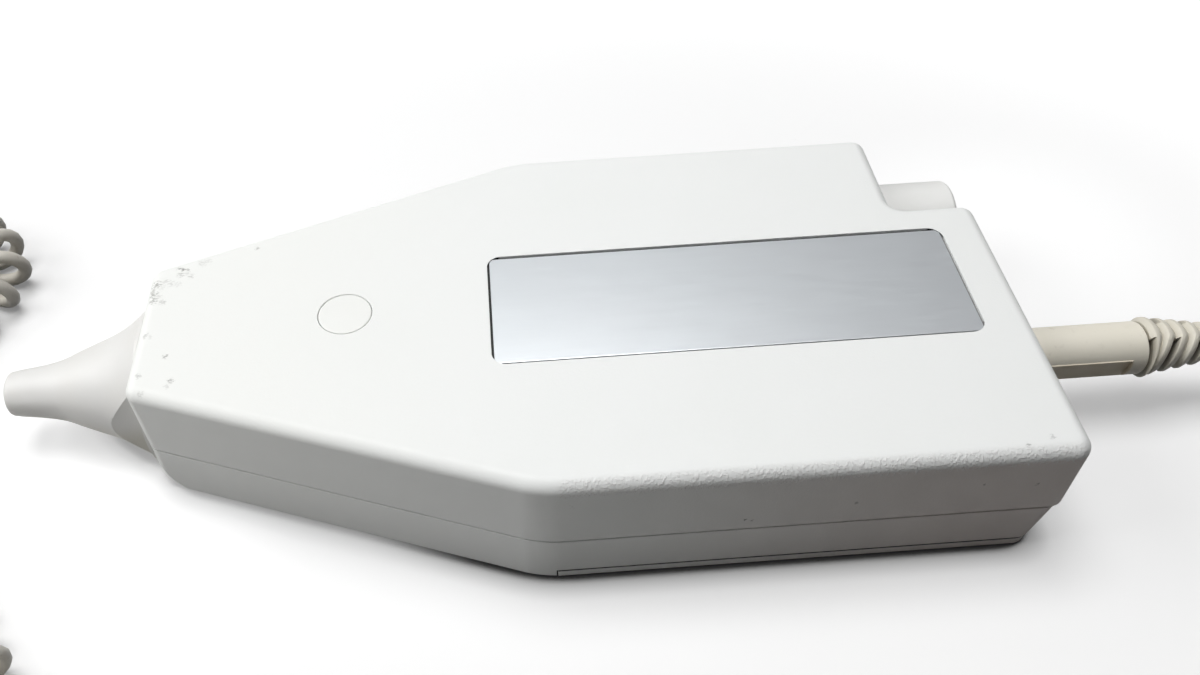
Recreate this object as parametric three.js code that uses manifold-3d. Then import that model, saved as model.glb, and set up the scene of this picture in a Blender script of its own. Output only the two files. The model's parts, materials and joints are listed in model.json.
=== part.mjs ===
// A pocket ultrasound stethoscope: a tapered two-part case with a nose that holds the transducer, a push
// button, a volume knob in a corner notch, a sliding battery door and a curly headset cord on a plug.
// Millimetres. x = 0 is the flat front of the case, +X runs to the cord, y = 0 is the centre line, +Z is up
// and z = 0 is the table. The exported group is moved along X so that its origin is under the middle.
import * as THREE from 'three';
import { mergeVertices } from 'three/addons/utils/BufferGeometryUtils.js';
import Module from 'manifold-3d';

const wasm = await Module();
wasm.setup();

// Clearances
const fitGap = 0.3; // between fixed pieces that are cut to fit each other
const slideGap = 0.25; // round pieces that move

// Case
const caseLength = 155;
const caseWidth = 80;
const caseHeight = 27;
const frontWidth = 29.8;
const straightLength = 86.6; // from the end of the taper to the rear
const wall = 2.4;
const kneeRadius = 9;
const cornerRadius = 2.75;
const topEdgeRadius = 2.3;
const bottomEdgeRadius = 1;
const frontRoundLength = 7; // the bottom front edge is a quarter ellipse
const frontRoundHeight = 10.4;
const seamZ = 11.4;
const rearStep = 3; // the bottom shell's lowest edge ends this far short of the top shell
const seamStep = 0.5; // and its upper edge, at the seam, this far

// Corner notch for the volume knob
const notchLength = 15;
const notchWidth = 23.5;
const notchRadius = 2.6;

// Label recess
const labelLength = 84.5;
const labelWidth = 26.2;
const labelRearMargin = 8.3;
const labelCentreY = -1.2;
const labelRadius = 3;
const labelRecess = 0.5;
const labelThickness = 0.3;

// Battery door and battery
const doorThickness = 2.2;
const doorRunnerInset = 14; // from the side of the case to the middle of the runner
const doorRunnerWidth = 2.4;
const doorRunnerHeight = 0.9;
const doorGripRibs = 6;
const doorGripPitch = 2.4;
const doorGripWidth = 26;
const doorGripDepth = 0.6;
const batteryLength = 46.4;
const batteryWidth = 26.5;
const batteryHeight = 17.5;
const batteryEdge = 2;
const terminalRadius = 2.9;
const terminalHeight = 2.6;
const terminalSpacing = 12.7;
const bayClearance = 0.6;
const bayRim = 3; // from the door's front edge to the bay
const bayFromRear = 29.1; // from the bay to the rear of the case
const cradleWall = 1.6;
const snapThickness = 4;
const snapBore = 3.2;
const snapHalfHeight = 4.5;
const padLength = 30;
const padWidth = 16;
const batteryWireRadius = 0.6;
const batteryWireSpacing = 3;

// Case screws
const screwHeadRadius = 2.6;
const screwHeadHeight = 1.8;
const screwShankRadius = 1.25;
const screwSlotWidth = 0.7;
const screwSlotDepth = 0.9;
const screwBite = 8; // how far the shank stands above the seam
const bossRadius = 3.2;
const frontScrewX = 11.4;
const frontScrewInset = 5.3; // from the line of the front face's side edge
const rearScrewInset = 7; // from the side of the case
const rearScrewFromRear = 34;

// Nose and transducer
const noseLength = 28.9;
const noseAxisZ = 11.5;
const noseTipRadius = 4.2;
const noseTipRound = 0.9;
const noseSideFlat = 10; // half the width between the flats at the nose's root
const noseFlare = [ // distance from the case, radius
  [27, 4.35], [21.4, 5.1], [18, 5.9], [14.7, 7.2], [11.5, 8.4], [8, 9.7], [5, 11.2], [2.6, 12.8], [0.3, 14.6],
];
const noseFlareSteps = 11;
const noseUnderside = 1; // the flare is cut flat this far above the table
const noseNeckRadius = 6.5;
const noseFlangeRadius = 7.5;
const noseFlangeX = 4.6;
const noseFlangeThickness = 1.6;
const noseBoreRadius = 3.2;
const noseCavityRadius = 5;
const noseCavityReach = 12; // the wide part of the bore starts this far in front of the case
const lensThickness = 1.2;
const crystalThickness = 0.5;
const crystalSplit = 0.6;
const backingLength = 6;
const probeWireRadius = 0.7;
const probeWireLane = 1.5; // from the axis to each wire

// Power button
const buttonX = 36.7;
const buttonRadius = 4.6;
const buttonFlangeRadius = 5.8;
const buttonFlangeThickness = 1.4;
const buttonTravel = 1;
const buttonEdge = 0.3;
const stemRadius = 1.6;
const switchWidth = 6.2;
const switchHeight = 3.6;
const plungerRadius = 1.4;
const plungerHeight = 2;
const springRadius = 2.5;
const springWireRadius = 0.3;
const springTurns = 6;

// Volume control
const knobRadius = 8;
const knobInset = 11.7; // from the side of the case to the axis
const knobFloorGap = 0.65; // from the floor under the notch to the knob
const knobReach = 1.2; // how far the knob stands out behind the case
const knobGap = 0.9;
const knobChamfer = 0.8;
const knobWall = 1.5;
const knobEnd = 1.8;
const shaftRadius = 2;
const bushingRadius = 3.5;
const bushingReach = 4.2; // outside the notch wall
const nutRadius = 5.4;
const nutThickness = 2;
const washerThickness = 0.6;
const potRadius = 8;
const potDepth = 8;
const potTabWidth = 1.6;
const potTabSpacing = 4;
const potTabLength = 3;
const potTabThickness = 0.8;
const cableRadius = 1;
const cableLane = 2; // from the battery cradle to the middle of each cable

// Circuit board
const boardThickness = 1.6;
const boardZ = 8;
const boardFrontX = 16;
const boardEdgeGap = 1.2;
const boardPostRadius = 2.4;
const boardPostFromEnd = 6;
const frontPostInset = 2.9; // from the line of the front face's side edge
const rearPostInset = 11; // from the side of the case
const chipWidth = 6.4;
const chipHeight = 3.2;
const chipStand = 0.8;
const chipLegPitch = 2.54;
const chipLegWidth = 0.6;
const chipLegThickness = 0.5;
const coilCanSize = 7;
const coilCanHeight = 11;
const crystalCanLength = 4.6;
const crystalCanWidth = 11;
const crystalCanHeight = 8;
const largeCapacitorRadius = 3.15;
const largeCapacitorHeight = 11;
const smallCapacitorRadius = 2.5;
const smallCapacitorHeight = 8;
const trimmerRadius = 3.2;
const trimmerHeight = 3.4;
const trimmerSlot = 0.8;
const transistorRadius = 2.4;
const transistorHeight = 5;
const chipFromRear = 12; // each part's middle, from the rear edge of the board
const rearPartsFromRear = 5.2;
const outsideCable = 5; // from a cable to the middle of the parts beyond it
const amplifierLegs = 14;
const mixerLegs = 8;
const amplifierY = 10.5;
const mixerY = 9.5;
const transistorY = 1.4;
const coilCanFromFront = 16;
const crystalCanFromButton = 8.7;

// Headset jack and plug
const jackY = -9.1;
const jackZ = 13.5;
const jackWidth = 10;
const jackDepth = 15;
const jackCollarRadius = 3.6;
const pinRadius = 1.75;
const pinLength = 14;
const pinTipLength = 3;
const handleRadius = 4.85;
const handleLength = 26.2;
const handleSeat = 1.8; // how far the handle enters the case wall
const handleFacetDepth = 0.72; // of the flat on the near lower side
const handleFacetAngle = 10.5; // degrees below the horizontal
const handleFacetEnd = 3;
const handleEdge = 0.5;
const reliefRibs = 8;
const reliefPitch = 2.6;
const reliefStartRadius = 5.5;
const reliefEndRadius = 2.7;
const reliefGroove = 0.7;
const reliefRibShare = 0.55; // of the pitch

// Headset cord
const cordRadius = 1.4;
const curlRadius = 4.85; // to the middle of the wire
const curlPitch = 6.4;
const curlSteps = 8;
const cordSides = 8;
const curlSides = 5;
const curlRoute = [ // x, y of the middle of the curls
  [206, -75], [150, -75], [90, -75], [35, -75], [4, -73], [-12, -65.5], [-22, -53.5], [-33, -37],
  [-43.5, -18], [-51, 0], [-52, 14], [-48, 25], [-43.6, 34], [-43.2, 41.5], [-47.6, 48.5], [-54.5, 54],
  [-62, 59],
];
const leadRoute = [ // x, y, z between the strain relief and the first curl
  [211.5, -11.3, 11.2], [215, -17, 7.4], [216, -25, 3.8], [215, -35, 1.7], [212.5, -46, 1.45],
  [208.5, -58, 1.45],
];
const tailRoute = [[-68.5, 48.8, 1.7], [-74, 40.5, 3.6]];
const farPlugX = -78;
const farReliefY = 30; // the thin end of the strain relief on the headset plug

const paint = {
  shell: new THREE.MeshStandardMaterial({ color: 0xeceae4, roughness: 0.62, metalness: 0 }),
  button: new THREE.MeshStandardMaterial({ color: 0xebe9df, roughness: 0.55, metalness: 0 }),
  nose: new THREE.MeshStandardMaterial({ color: 0xecebe7, roughness: 0.5, metalness: 0 }),
  label: new THREE.MeshStandardMaterial({ color: 0xc9ccce, roughness: 0.35, metalness: 1 }),
  knob: new THREE.MeshStandardMaterial({ color: 0xdfddd6, roughness: 0.5, metalness: 0 }),
  plug: new THREE.MeshStandardMaterial({ color: 0xcfc8ba, roughness: 0.6, metalness: 0 }),
  cord: new THREE.MeshStandardMaterial({ color: 0xb9b4a7, roughness: 0.6, metalness: 0 }),
  metal: new THREE.MeshStandardMaterial({ color: 0xb8b9bb, roughness: 0.3, metalness: 1 }),
  brass: new THREE.MeshStandardMaterial({ color: 0xc2a15a, roughness: 0.35, metalness: 1 }),
  black: new THREE.MeshStandardMaterial({ color: 0x1c1c1e, roughness: 0.5, metalness: 0 }),
  board: new THREE.MeshStandardMaterial({ color: 0x2f6a3f, roughness: 0.5, metalness: 0 }),
  blue: new THREE.MeshStandardMaterial({ color: 0x28438c, roughness: 0.45, metalness: 0 }),
  red: new THREE.MeshStandardMaterial({ color: 0xa82a22, roughness: 0.5, metalness: 0 }),
  foam: new THREE.MeshStandardMaterial({ color: 0x4a4a4a, roughness: 0.95, metalness: 0 }),
  epoxy: new THREE.MeshStandardMaterial({ color: 0xd8cfae, roughness: 0.3, metalness: 0 }),
  ceramic: new THREE.MeshStandardMaterial({ color: 0xc9b98a, roughness: 0.5, metalness: 0 }),
};

// Sizes that follow from the driving dimensions
const underBottomShell = doorThickness + slideGap; // the shell's floor above the door
const floorTop = underBottomShell + wall;
const roofZ = caseHeight - wall;
const kneeX = caseLength - straightLength;
const labelFrontX = caseLength - labelRearMargin - labelLength;
const notchX = caseLength - notchLength;
const notchY = caseWidth / 2 - notchWidth;
const bottomRearX = caseLength - rearStep;
const doorRunnerY = caseWidth / 2 - doorRunnerInset;
const knobAxisY = caseWidth / 2 - knobInset;
const knobAxisZ = floorTop + knobFloorGap + Math.max(knobRadius, potRadius);
const frontScrewY = frontWidth / 2 - frontScrewInset;
const rearScrewX = caseLength - rearScrewFromRear;
const rearScrewY = caseWidth / 2 - rearScrewInset;
const bayRearX = caseLength - bayFromRear;
const batteryX = bayRearX - bayClearance - batteryLength;
const batteryZ = doorThickness + slideGap;
const bayFrontX = batteryX - fitGap - snapThickness - bayClearance;
const doorFrontX = bayFrontX - bayRim;
const bayHalfWidth = batteryWidth / 2 + bayClearance;
const batteryMiddleZ = batteryZ + batteryHeight / 2;
const boardRearX = bayFrontX - cradleWall - bayClearance;
const boardTop = boardZ + boardThickness;
const componentFoot = boardTop + fitGap;
const frontPostX = boardFrontX + boardPostFromEnd;
const frontPostY = frontWidth / 2 - frontPostInset;
const rearPostX = boardRearX - boardPostFromEnd;
const rearPostY = caseWidth / 2 - rearPostInset;
const boardPosts = [
  [frontPostX, -frontPostY], [frontPostX, frontPostY], [rearPostX, -rearPostY], [rearPostX, rearPostY],
];
const cableY = bayHalfWidth + cradleWall + cableLane;
const chipColumnX = boardRearX - chipFromRear;
const rearColumnX = boardRearX - rearPartsFromRear;
const outerRowY = cableY + outsideCable;
const knobEndX = caseLength + knobReach;
const reliefLength = reliefRibs * reliefPitch;
const cordDiameter = 2 * cordRadius;
const curlZ = curlRadius + cordRadius;

const cornerStep = Math.PI / 7; // the widest turn between two points of a rounded corner
const smallSides = 16; // of small round pieces and holes

// Joining and cutting

function solid(geometry) {
  const bare = geometry.clone();
  bare.deleteAttribute('normal');
  bare.deleteAttribute('uv');
  const merged = mergeVertices(bare, 1e-5);
  return new wasm.Manifold(new wasm.Mesh({
    numProp: 3,
    vertProperties: new Float32Array(merged.attributes.position.array),
    triVerts: new Uint32Array(merged.index.array),
  }));
}

function cut(body, ...tools) {
  return tools.reduce((left, tool) => left.subtract(tool), body);
}

function join(...bodies) {
  return bodies.reduce((whole, body) => whole.add(body));
}

function geometryOf(body) {
  const { vertProperties, triVerts } = body.getMesh();
  const geometry = new THREE.BufferGeometry();
  geometry.setAttribute('position', new THREE.BufferAttribute(vertProperties, 3));
  geometry.setIndex(new THREE.BufferAttribute(triVerts, 1));
  geometry.computeVertexNormals();
  return geometry;
}

function piece(name, body, material) {
  const mesh = new THREE.Mesh(body.isBufferGeometry ? body : geometryOf(body), material);
  mesh.name = name;
  return mesh;
}

// Basic bodies

function block([x0, x1], [y0, y1], [z0, z1]) {
  const geometry = new THREE.BoxGeometry(x1 - x0, y1 - y0, z1 - z0);
  return solid(geometry.translate((x0 + x1) / 2, (y0 + y1) / 2, (z0 + z1) / 2));
}

// A profile of [radius, height] points turned round the X or the Z axis, through the point [x, y, z].
function turned(axis, profile, [x, y, z], segments = 32) {
  const geometry = new THREE.LatheGeometry(profile.map(([r, h]) => new THREE.Vector2(r, h)), segments);
  if (axis === 'x') geometry.rotateZ(-Math.PI / 2);
  else geometry.rotateX(Math.PI / 2);
  return solid(geometry.translate(x, y, z));
}

function disc(axis, radius, from, to, [x, y, z], segments = 32) {
  return turned(axis, [[0, from], [radius, from], [radius, to], [0, to]], [x, y, z], segments);
}

// An outline of corners [x, y, radius], each rounded, or sharp where its radius is 0.
function roundedShape(corners) {
  const points = corners.flatMap(([x, y, radius], i) => {
    const corner = new THREE.Vector2(x, y);
    if (radius === 0) return [corner];
    const [last, next] = [corners.at(i - 1), corners[(i + 1) % corners.length]];
    const back = new THREE.Vector2(last[0], last[1]).sub(corner).normalize();
    const on = new THREE.Vector2(next[0], next[1]).sub(corner).normalize();
    const half = Math.acos(THREE.MathUtils.clamp(back.dot(on), -1, 1)) / 2;
    const start = corner.clone().addScaledVector(back, radius / Math.tan(half));
    const end = corner.clone().addScaledVector(on, radius / Math.tan(half));
    const centre = corner.clone().addScaledVector(back.clone().add(on).normalize(), radius / Math.sin(half));
    const [from, to] = [start.sub(centre).angle(), end.sub(centre).angle()];
    const arc = new THREE.EllipseCurve(centre.x, centre.y, radius, radius, from, to, back.cross(on) > 0);
    return arc.getPoints(Math.ceil((Math.PI - 2 * half) / cornerStep));
  });
  return new THREE.Shape(points);
}

// The same corners with every side moved inwards.
function insetCorners(corners, inset) {
  return corners.map(([x, y, radius], i) => {
    const [last, next] = [corners.at(i - 1), corners[(i + 1) % corners.length]];
    const before = new THREE.Vector2(x - last[0], y - last[1]).normalize();
    const after = new THREE.Vector2(next[0] - x, next[1] - y).normalize();
    const normals = new THREE.Vector2(-before.y - after.y, before.x + after.x);
    const reach = inset / (1 + before.dot(after));
    const inner = before.cross(after) > 0 ? radius - inset : radius + inset;
    return [x + normals.x * reach, y + normals.y * reach, inner > wall / 3 ? inner : 0];
  });
}

function rectangle([x0, x1], [y0, y1], radius) {
  return [[x0, y0, radius], [x1, y0, radius], [x1, y1, radius], [x0, y1, radius]];
}

// An outline raised from z0 to z1, with both of its edges rounded as far as its corners allow.
function slab(corners, z0, z1, edgeRadius = 0) {
  const edge = Math.min(edgeRadius, 0.9 * Math.min(...corners.map(([, , radius]) => radius)));
  const geometry = new THREE.ExtrudeGeometry(roundedShape(corners), {
    depth: z1 - z0 - 2 * edge,
    bevelEnabled: edge > 0,
    bevelThickness: edge,
    bevelSize: edge,
    bevelOffset: -edge,
    bevelSegments: 3,
  });
  return solid(geometry.translate(0, 0, z0 + edge));
}

// A round tube along a smooth curve.
function tube(points, radius, sides = 6, steps = 16) {
  const curve = new THREE.CatmullRomCurve3(points.map((p) => new THREE.Vector3(...p)), false, 'centripetal');
  const section = new THREE.Shape();
  for (let k = 0; k < sides; k += 1) {
    const angle = (2 * Math.PI * k) / sides;
    const corner = [radius * Math.cos(angle), radius * Math.sin(angle)];
    if (k === 0) section.moveTo(...corner);
    else section.lineTo(...corner);
  }
  section.closePath();
  return solid(new THREE.ExtrudeGeometry(section, { steps, extrudePath: curve }));
}

// A closed tube whose rings stand on the given points.
function woundTube(points, radius, sides) {
  const positions = [];
  const faces = [];
  const across = new THREE.Vector3(0, 0, 1);
  points.forEach((point, i) => {
    const ahead = points[Math.min(i + 1, points.length - 1)].clone();
    const tangent = ahead.sub(points[Math.max(i - 1, 0)]).normalize();
    across.addScaledVector(tangent, -across.dot(tangent)).normalize();
    const up = tangent.clone().cross(across);
    for (let k = 0; k < sides; k += 1) {
      const angle = (2 * Math.PI * k) / sides;
      const corner = point.clone().addScaledVector(across, radius * Math.cos(angle));
      positions.push(...corner.addScaledVector(up, radius * Math.sin(angle)).toArray());
    }
  });
  for (let i = 0; i + 1 < points.length; i += 1) {
    for (let k = 0; k < sides; k += 1) {
      const [a, b] = [i * sides + k, i * sides + ((k + 1) % sides)];
      faces.push(a, b, b + sides, a, b + sides, a + sides);
    }
  }
  const last = (points.length - 1) * sides;
  for (let k = 1; k + 1 < sides; k += 1) faces.push(0, k + 1, k, last, last + k, last + k + 1);
  const geometry = new THREE.BufferGeometry();
  geometry.setAttribute('position', new THREE.Float32BufferAttribute(positions, 3));
  geometry.setIndex(faces);
  geometry.computeVertexNormals();
  return geometry;
}

// The least gap between a wound tube's own turns, measured between its points.
function leastGap(points, radius, stepsPerTurn) {
  let least = Infinity;
  points.forEach((point, i) => {
    for (let j = i + Math.ceil(stepsPerTurn / 2); j < Math.min(points.length, i + 3 * stepsPerTurn); j += 1) {
      least = Math.min(least, point.distanceTo(points[j]) - 2 * radius);
    }
  });
  return least;
}

// Case

const caseCorners = [
  [0, -frontWidth / 2, cornerRadius],
  [kneeX, -caseWidth / 2, kneeRadius],
  [caseLength, -caseWidth / 2, cornerRadius],
  [caseLength, notchY, notchRadius],
  [notchX, notchY, notchRadius],
  [notchX, caseWidth / 2, notchRadius],
  [kneeX, caseWidth / 2, kneeRadius],
  [0, frontWidth / 2, cornerRadius],
];
const plainCorners = [
  ...caseCorners.slice(0, 2),
  [bottomRearX, -caseWidth / 2, cornerRadius],
  [bottomRearX, caseWidth / 2, cornerRadius],
  ...caseCorners.slice(6),
];
const seamCorners = plainCorners.map(([x, y, radius]) => (
  [x === bottomRearX ? caseLength - seamStep : x, y, radius]
));
const bottomCorners = [
  ...caseCorners.slice(0, 2),
  [bottomRearX, -caseWidth / 2, cornerRadius],
  [bottomRearX, notchY, notchRadius],
  ...caseCorners.slice(4),
];
const whole = 3 * caseLength; // past everything, for cutting bodies
const above = (z) => block([-whole, whole], [-whole, whole], [z, whole]);
const below = (z) => block([-whole, whole], [-whole, whole], [-whole, z]);

// What the rounded bottom front edge takes away from a body that is inset by the given amount.
function frontRound(inset) {
  const round = new THREE.CylinderGeometry(1, 1, 2 * caseWidth, 36);
  round.scale(frontRoundLength - inset, 1, frontRoundHeight - inset);
  round.translate(frontRoundLength, 0, frontRoundHeight);
  const half = caseWidth / 2;
  const corner = block([-whole, frontRoundLength], [-half, half], [-whole, frontRoundHeight]);
  return corner.subtract(solid(round));
}

const screwPlaces = [
  [frontScrewX, -frontScrewY, 0],
  [frontScrewX, frontScrewY, 0],
  [rearScrewX, -rearScrewY, underBottomShell],
  [rearScrewX, rearScrewY, underBottomShell],
];
const screwSeat = screwHeadHeight + fitGap;
const shankTop = seamZ + screwBite;
const knobAt = [notchX, knobAxisY, knobAxisZ];
const jackAt = [caseLength, jackY, jackZ];
const noseAt = [0, 0, noseAxisZ];

// Holes in the walls, which the seam divides between the two shells.
const noseHole = disc('x', noseNeckRadius + fitGap, -wall, 2 * wall, noseAt, 32);
const bushingHole = disc('x', bushingRadius + fitGap, -2 * wall, wall, knobAt, 24);
const plugHole = disc('x', handleRadius + slideGap, -wall, wall, jackAt, 32);
const collarHole = disc('x', jackCollarRadius + fitGap, -2 * wall - rearStep, 0, jackAt, 24);
const wallHoles = [noseHole, bushingHole, plugHole, collarHole];

function topShell() {
  const outer = slab(caseCorners, seamZ - caseHeight, caseHeight, topEdgeRadius);
  const inner = slab(insetCorners(caseCorners, wall), -caseHeight, roofZ);
  const bosses = screwPlaces.map(([x, y]) => (
    disc('z', bossRadius, seamZ, roofZ + fitGap, [x, y, 0], smallSides)
  ));
  const bores = screwPlaces.map(([x, y]) => (
    disc('z', screwShankRadius + slideGap, 0, shankTop + fitGap, [x, y, 0], smallSides)
  ));
  const recess = slab(rectangle(
    [labelFrontX, labelFrontX + labelLength],
    [labelCentreY - labelWidth / 2, labelCentreY + labelWidth / 2],
    labelRadius,
  ), caseHeight - labelRecess, caseHeight + wall);
  const guide = turned('z', [
    [buttonFlangeRadius + slideGap, roofZ - buttonFlangeThickness - 2 * buttonTravel],
    [buttonFlangeRadius + slideGap + cradleWall, roofZ - buttonFlangeThickness - 2 * buttonTravel],
    [buttonFlangeRadius + slideGap + cradleWall, roofZ + fitGap],
    [buttonFlangeRadius + slideGap, roofZ + fitGap],
    [buttonFlangeRadius + slideGap, roofZ - buttonFlangeThickness - 2 * buttonTravel],
  ], [buttonX, 0, 0], 24);
  const buttonHole = disc('z', buttonRadius + slideGap, roofZ - wall, caseHeight + wall, [buttonX, 0, 0], 36);
  const shell = join(cut(outer, frontRound(0), inner), ...bosses, guide);
  return cut(shell, below(seamZ + fitGap / 2), ...bores, recess, buttonHole, ...wallHoles);
}

function bottomShell() {
  const outer = wasm.Manifold.hull([
    slab(plainCorners, 0, 3 * bottomEdgeRadius, bottomEdgeRadius),
    slab(seamCorners, seamZ, seamZ + wall),
  ]);
  const notch = slab(rectangle([notchX, whole], [notchY, whole], notchRadius), floorTop, whole);
  const frontHollow = slab(insetCorners(bottomCorners, wall), wall, whole);
  const rearHollow = block([doorFrontX - wall, whole], [-whole, whole], [-whole, floorTop]);
  const hollow = cut(frontHollow, rearHollow, frontRound(wall));
  const doorSpace = block([doorFrontX - slideGap, whole], [-whole, whole], [-whole, underBottomShell]);
  const cradle = block(
    [bayFrontX - cradleWall, bayRearX + cradleWall],
    [-bayHalfWidth - cradleWall, bayHalfWidth + cradleWall],
    [underBottomShell, seamZ - fitGap],
  );
  const bay = block([bayFrontX, bayRearX], [-bayHalfWidth, bayHalfWidth], [-wall, seamZ]);
  const wirePass = block(
    [bayFrontX - 2 * cradleWall, bayFrontX + cradleWall],
    [-bayHalfWidth / 2, bayHalfWidth / 2],
    [boardTop, seamZ],
  );
  const runnerSlots = [-1, 1].map((side) => {
    const y = side * doorRunnerY;
    const half = doorRunnerWidth / 2 + slideGap;
    return block([doorFrontX + bayRim - fitGap, whole], [y - half, y + half],
      [-wall, underBottomShell + doorRunnerHeight]);
  });
  const posts = screwPlaces.map(([x, y, under]) => (
    disc('z', bossRadius, under + wall / 2, seamZ, [x, y, 0], smallSides)
  ));
  const shankHoles = screwPlaces.map(([x, y]) => (
    disc('z', screwShankRadius + slideGap, -wall, seamZ + wall, [x, y, 0], smallSides)
  ));
  const headHoles = screwPlaces.map(([x, y, under]) => (
    disc('z', screwHeadRadius + fitGap, -wall, under + screwSeat, [x, y, 0], 24)
  ));
  const boardSupports = boardPosts.map(([x, y]) => (
    disc('z', boardPostRadius, wall / 2, boardZ - fitGap, [x, y, 0], 12)
  ));
  const shell = cut(outer, frontRound(0), notch, hollow);
  return cut(
    join(shell, cradle, ...posts, ...boardSupports),
    above(seamZ - fitGap / 2), doorSpace, bay, wirePass, ...runnerSlots, ...shankHoles, ...headHoles,
    ...wallHoles,
  );
}

function batteryDoor() {
  const corners = [
    [doorFrontX, -caseWidth / 2, bottomEdgeRadius],
    [bottomRearX, -caseWidth / 2, cornerRadius],
    [bottomRearX, caseWidth / 2, cornerRadius],
    [doorFrontX, caseWidth / 2, bottomEdgeRadius],
  ];
  const rounded = slab(corners, 0, 2 * doorThickness, bottomEdgeRadius);
  const plate = cut(rounded, above(doorThickness));
  const runners = [-1, 1].map((side) => {
    const y = side * doorRunnerY;
    return block(
      [doorFrontX + bayRim, bottomRearX - wall],
      [y - doorRunnerWidth / 2, y + doorRunnerWidth / 2],
      [doorThickness / 2, doorThickness + doorRunnerHeight],
    );
  });
  const grooves = Array.from({ length: doorGripRibs }, (_, i) => {
    const x = bottomRearX - 4 * doorGripPitch - i * doorGripPitch;
    return block([x, x + doorGripPitch / 2], [-doorGripWidth / 2, doorGripWidth / 2], [-wall, doorGripDepth]);
  });
  return cut(join(plate, ...runners), ...grooves);
}

function labelPlate() {
  const half = labelWidth / 2 - fitGap;
  return slab(rectangle(
    [labelFrontX + fitGap, labelFrontX + labelLength - fitGap],
    [labelCentreY - half, labelCentreY + half],
    labelRadius - fitGap,
  ), caseHeight - labelRecess, caseHeight - labelRecess + labelThickness);
}

function caseScrew([x, y, under]) {
  const seat = under + screwSeat;
  const body = turned('z', [
    [0, seat - screwHeadHeight],
    [screwHeadRadius * 0.8, seat - screwHeadHeight],
    [screwHeadRadius, seat - screwHeadHeight / 2],
    [screwHeadRadius, seat],
    [screwShankRadius, seat],
    [screwShankRadius, shankTop - screwShankRadius],
    [0, shankTop],
  ], [x, y, 0], 12);
  const top = seat - screwHeadHeight + screwSlotDepth;
  const long = screwHeadRadius * 0.6;
  const half = screwSlotWidth / 2;
  return cut(
    body,
    block([x - long, x + long], [y - half, y + half], [under - wall, top]),
    block([x - half, x + half], [y - long, y + long], [under - wall, top]),
  );
}

// Nose and transducer

function noseCone() {
  const behindTip = noseFlare.filter(([ahead]) => ahead < noseLength - noseTipRound);
  const curve = new THREE.SplineCurve(behindTip.map(([ahead, radius]) => new THREE.Vector2(radius, -ahead)));
  const flare = curve.getPoints(noseFlareSteps).map((p) => [p.x, p.y]);
  const [root] = flare.slice(-1);
  const body = turned('x', [
    [0, -noseLength],
    [noseTipRadius - noseTipRound, -noseLength],
    [noseTipRadius - noseTipRound / 4, -noseLength + noseTipRound / 3],
    [noseTipRadius, -noseLength + noseTipRound],
    ...flare,
    [noseNeckRadius, root[1]],
    [noseNeckRadius, noseFlangeX],
    [noseFlangeRadius, noseFlangeX],
    [noseFlangeRadius, noseFlangeX + noseFlangeThickness],
    [0, noseFlangeX + noseFlangeThickness],
  ], noseAt, 28);
  const bore = disc('x', noseBoreRadius + fitGap / 2, -whole, -noseCavityReach, noseAt, smallSides);
  const cavity = turned('x', [
    [0, -noseCavityReach - noseCavityRadius],
    [noseCavityRadius, -noseCavityReach],
    [noseCavityRadius, whole],
    [0, whole],
  ], noseAt, smallSides);
  const sides = [-1, 1].map((side) => block(
    [-whole, root[1] + fitGap],
    side < 0 ? [-whole, -noseSideFlat] : [noseSideFlat, whole],
    [-whole, whole],
  ));
  return cut(body, bore, cavity, ...sides, below(noseUnderside));
}

const lensBack = -noseLength + lensThickness;
const crystalBack = lensBack + crystalThickness + fitGap;

function transducerLens() {
  return disc('x', noseBoreRadius - fitGap / 2, -noseLength + fitGap, lensBack, noseAt, smallSides);
}

// One half of the split crystal disc: side -1 sends and side 1 listens.
function halfCrystal(side) {
  const [front, back] = [lensBack + fitGap / 2, crystalBack - fitGap / 2];
  const face = disc('x', noseBoreRadius - fitGap, front, back, noseAt, smallSides);
  const split = crystalSplit / 2;
  const other = side < 0 ? [-split, whole] : [-whole, split];
  return cut(face, block([-whole, whole], other, [-whole, whole]));
}

function crystalBacking() {
  return disc('x', noseBoreRadius - fitGap, crystalBack, crystalBack + backingLength, noseAt, smallSides);
}

function probeLead(side) {
  const lane = side * probeWireLane;
  return tube([
    [crystalBack + backingLength + fitGap, lane, noseAxisZ],
    [-noseCavityReach, lane, noseAxisZ],
    [noseFlangeX, lane, noseAxisZ],
    [boardFrontX - probeWireLane, 2 * lane, noseAxisZ],
    [boardFrontX + 2 * probeWireLane, 2 * lane, boardTop + 2 * probeWireRadius + fitGap],
    [boardFrontX + 2 * probeWireLane + probeWireRadius, 2 * lane, componentFoot + probeWireRadius / 3],
  ], probeWireRadius);
}

// Power button

const flangeTop = roofZ - fitGap;
const flangeUnder = flangeTop - buttonFlangeThickness;
const switchTop = componentFoot + switchHeight;
const plungerTop = switchTop + plungerHeight;

function buttonCap() {
  return turned('z', [
    [0, plungerTop + fitGap],
    [stemRadius, plungerTop + fitGap],
    [stemRadius, flangeUnder],
    [buttonFlangeRadius, flangeUnder],
    [buttonFlangeRadius, flangeTop],
    [buttonRadius, flangeTop],
    [buttonRadius, caseHeight - buttonEdge],
    [buttonRadius - buttonEdge, caseHeight],
    [0, caseHeight],
  ], [buttonX, 0, 0], 36);
}

function switchBody() {
  const half = switchWidth / 2;
  const body = block([buttonX - half, buttonX + half], [-half, half], [componentFoot, switchTop]);
  const boreFoot = switchTop - 2 * buttonTravel;
  const bore = disc('z', plungerRadius + slideGap, boreFoot, caseHeight, [buttonX, 0, 0], smallSides);
  return cut(body, bore);
}

function switchPlunger() {
  const foot = switchTop - buttonTravel + slideGap;
  return disc('z', plungerRadius, foot, plungerTop, [buttonX, 0, 0], smallSides);
}

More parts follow.
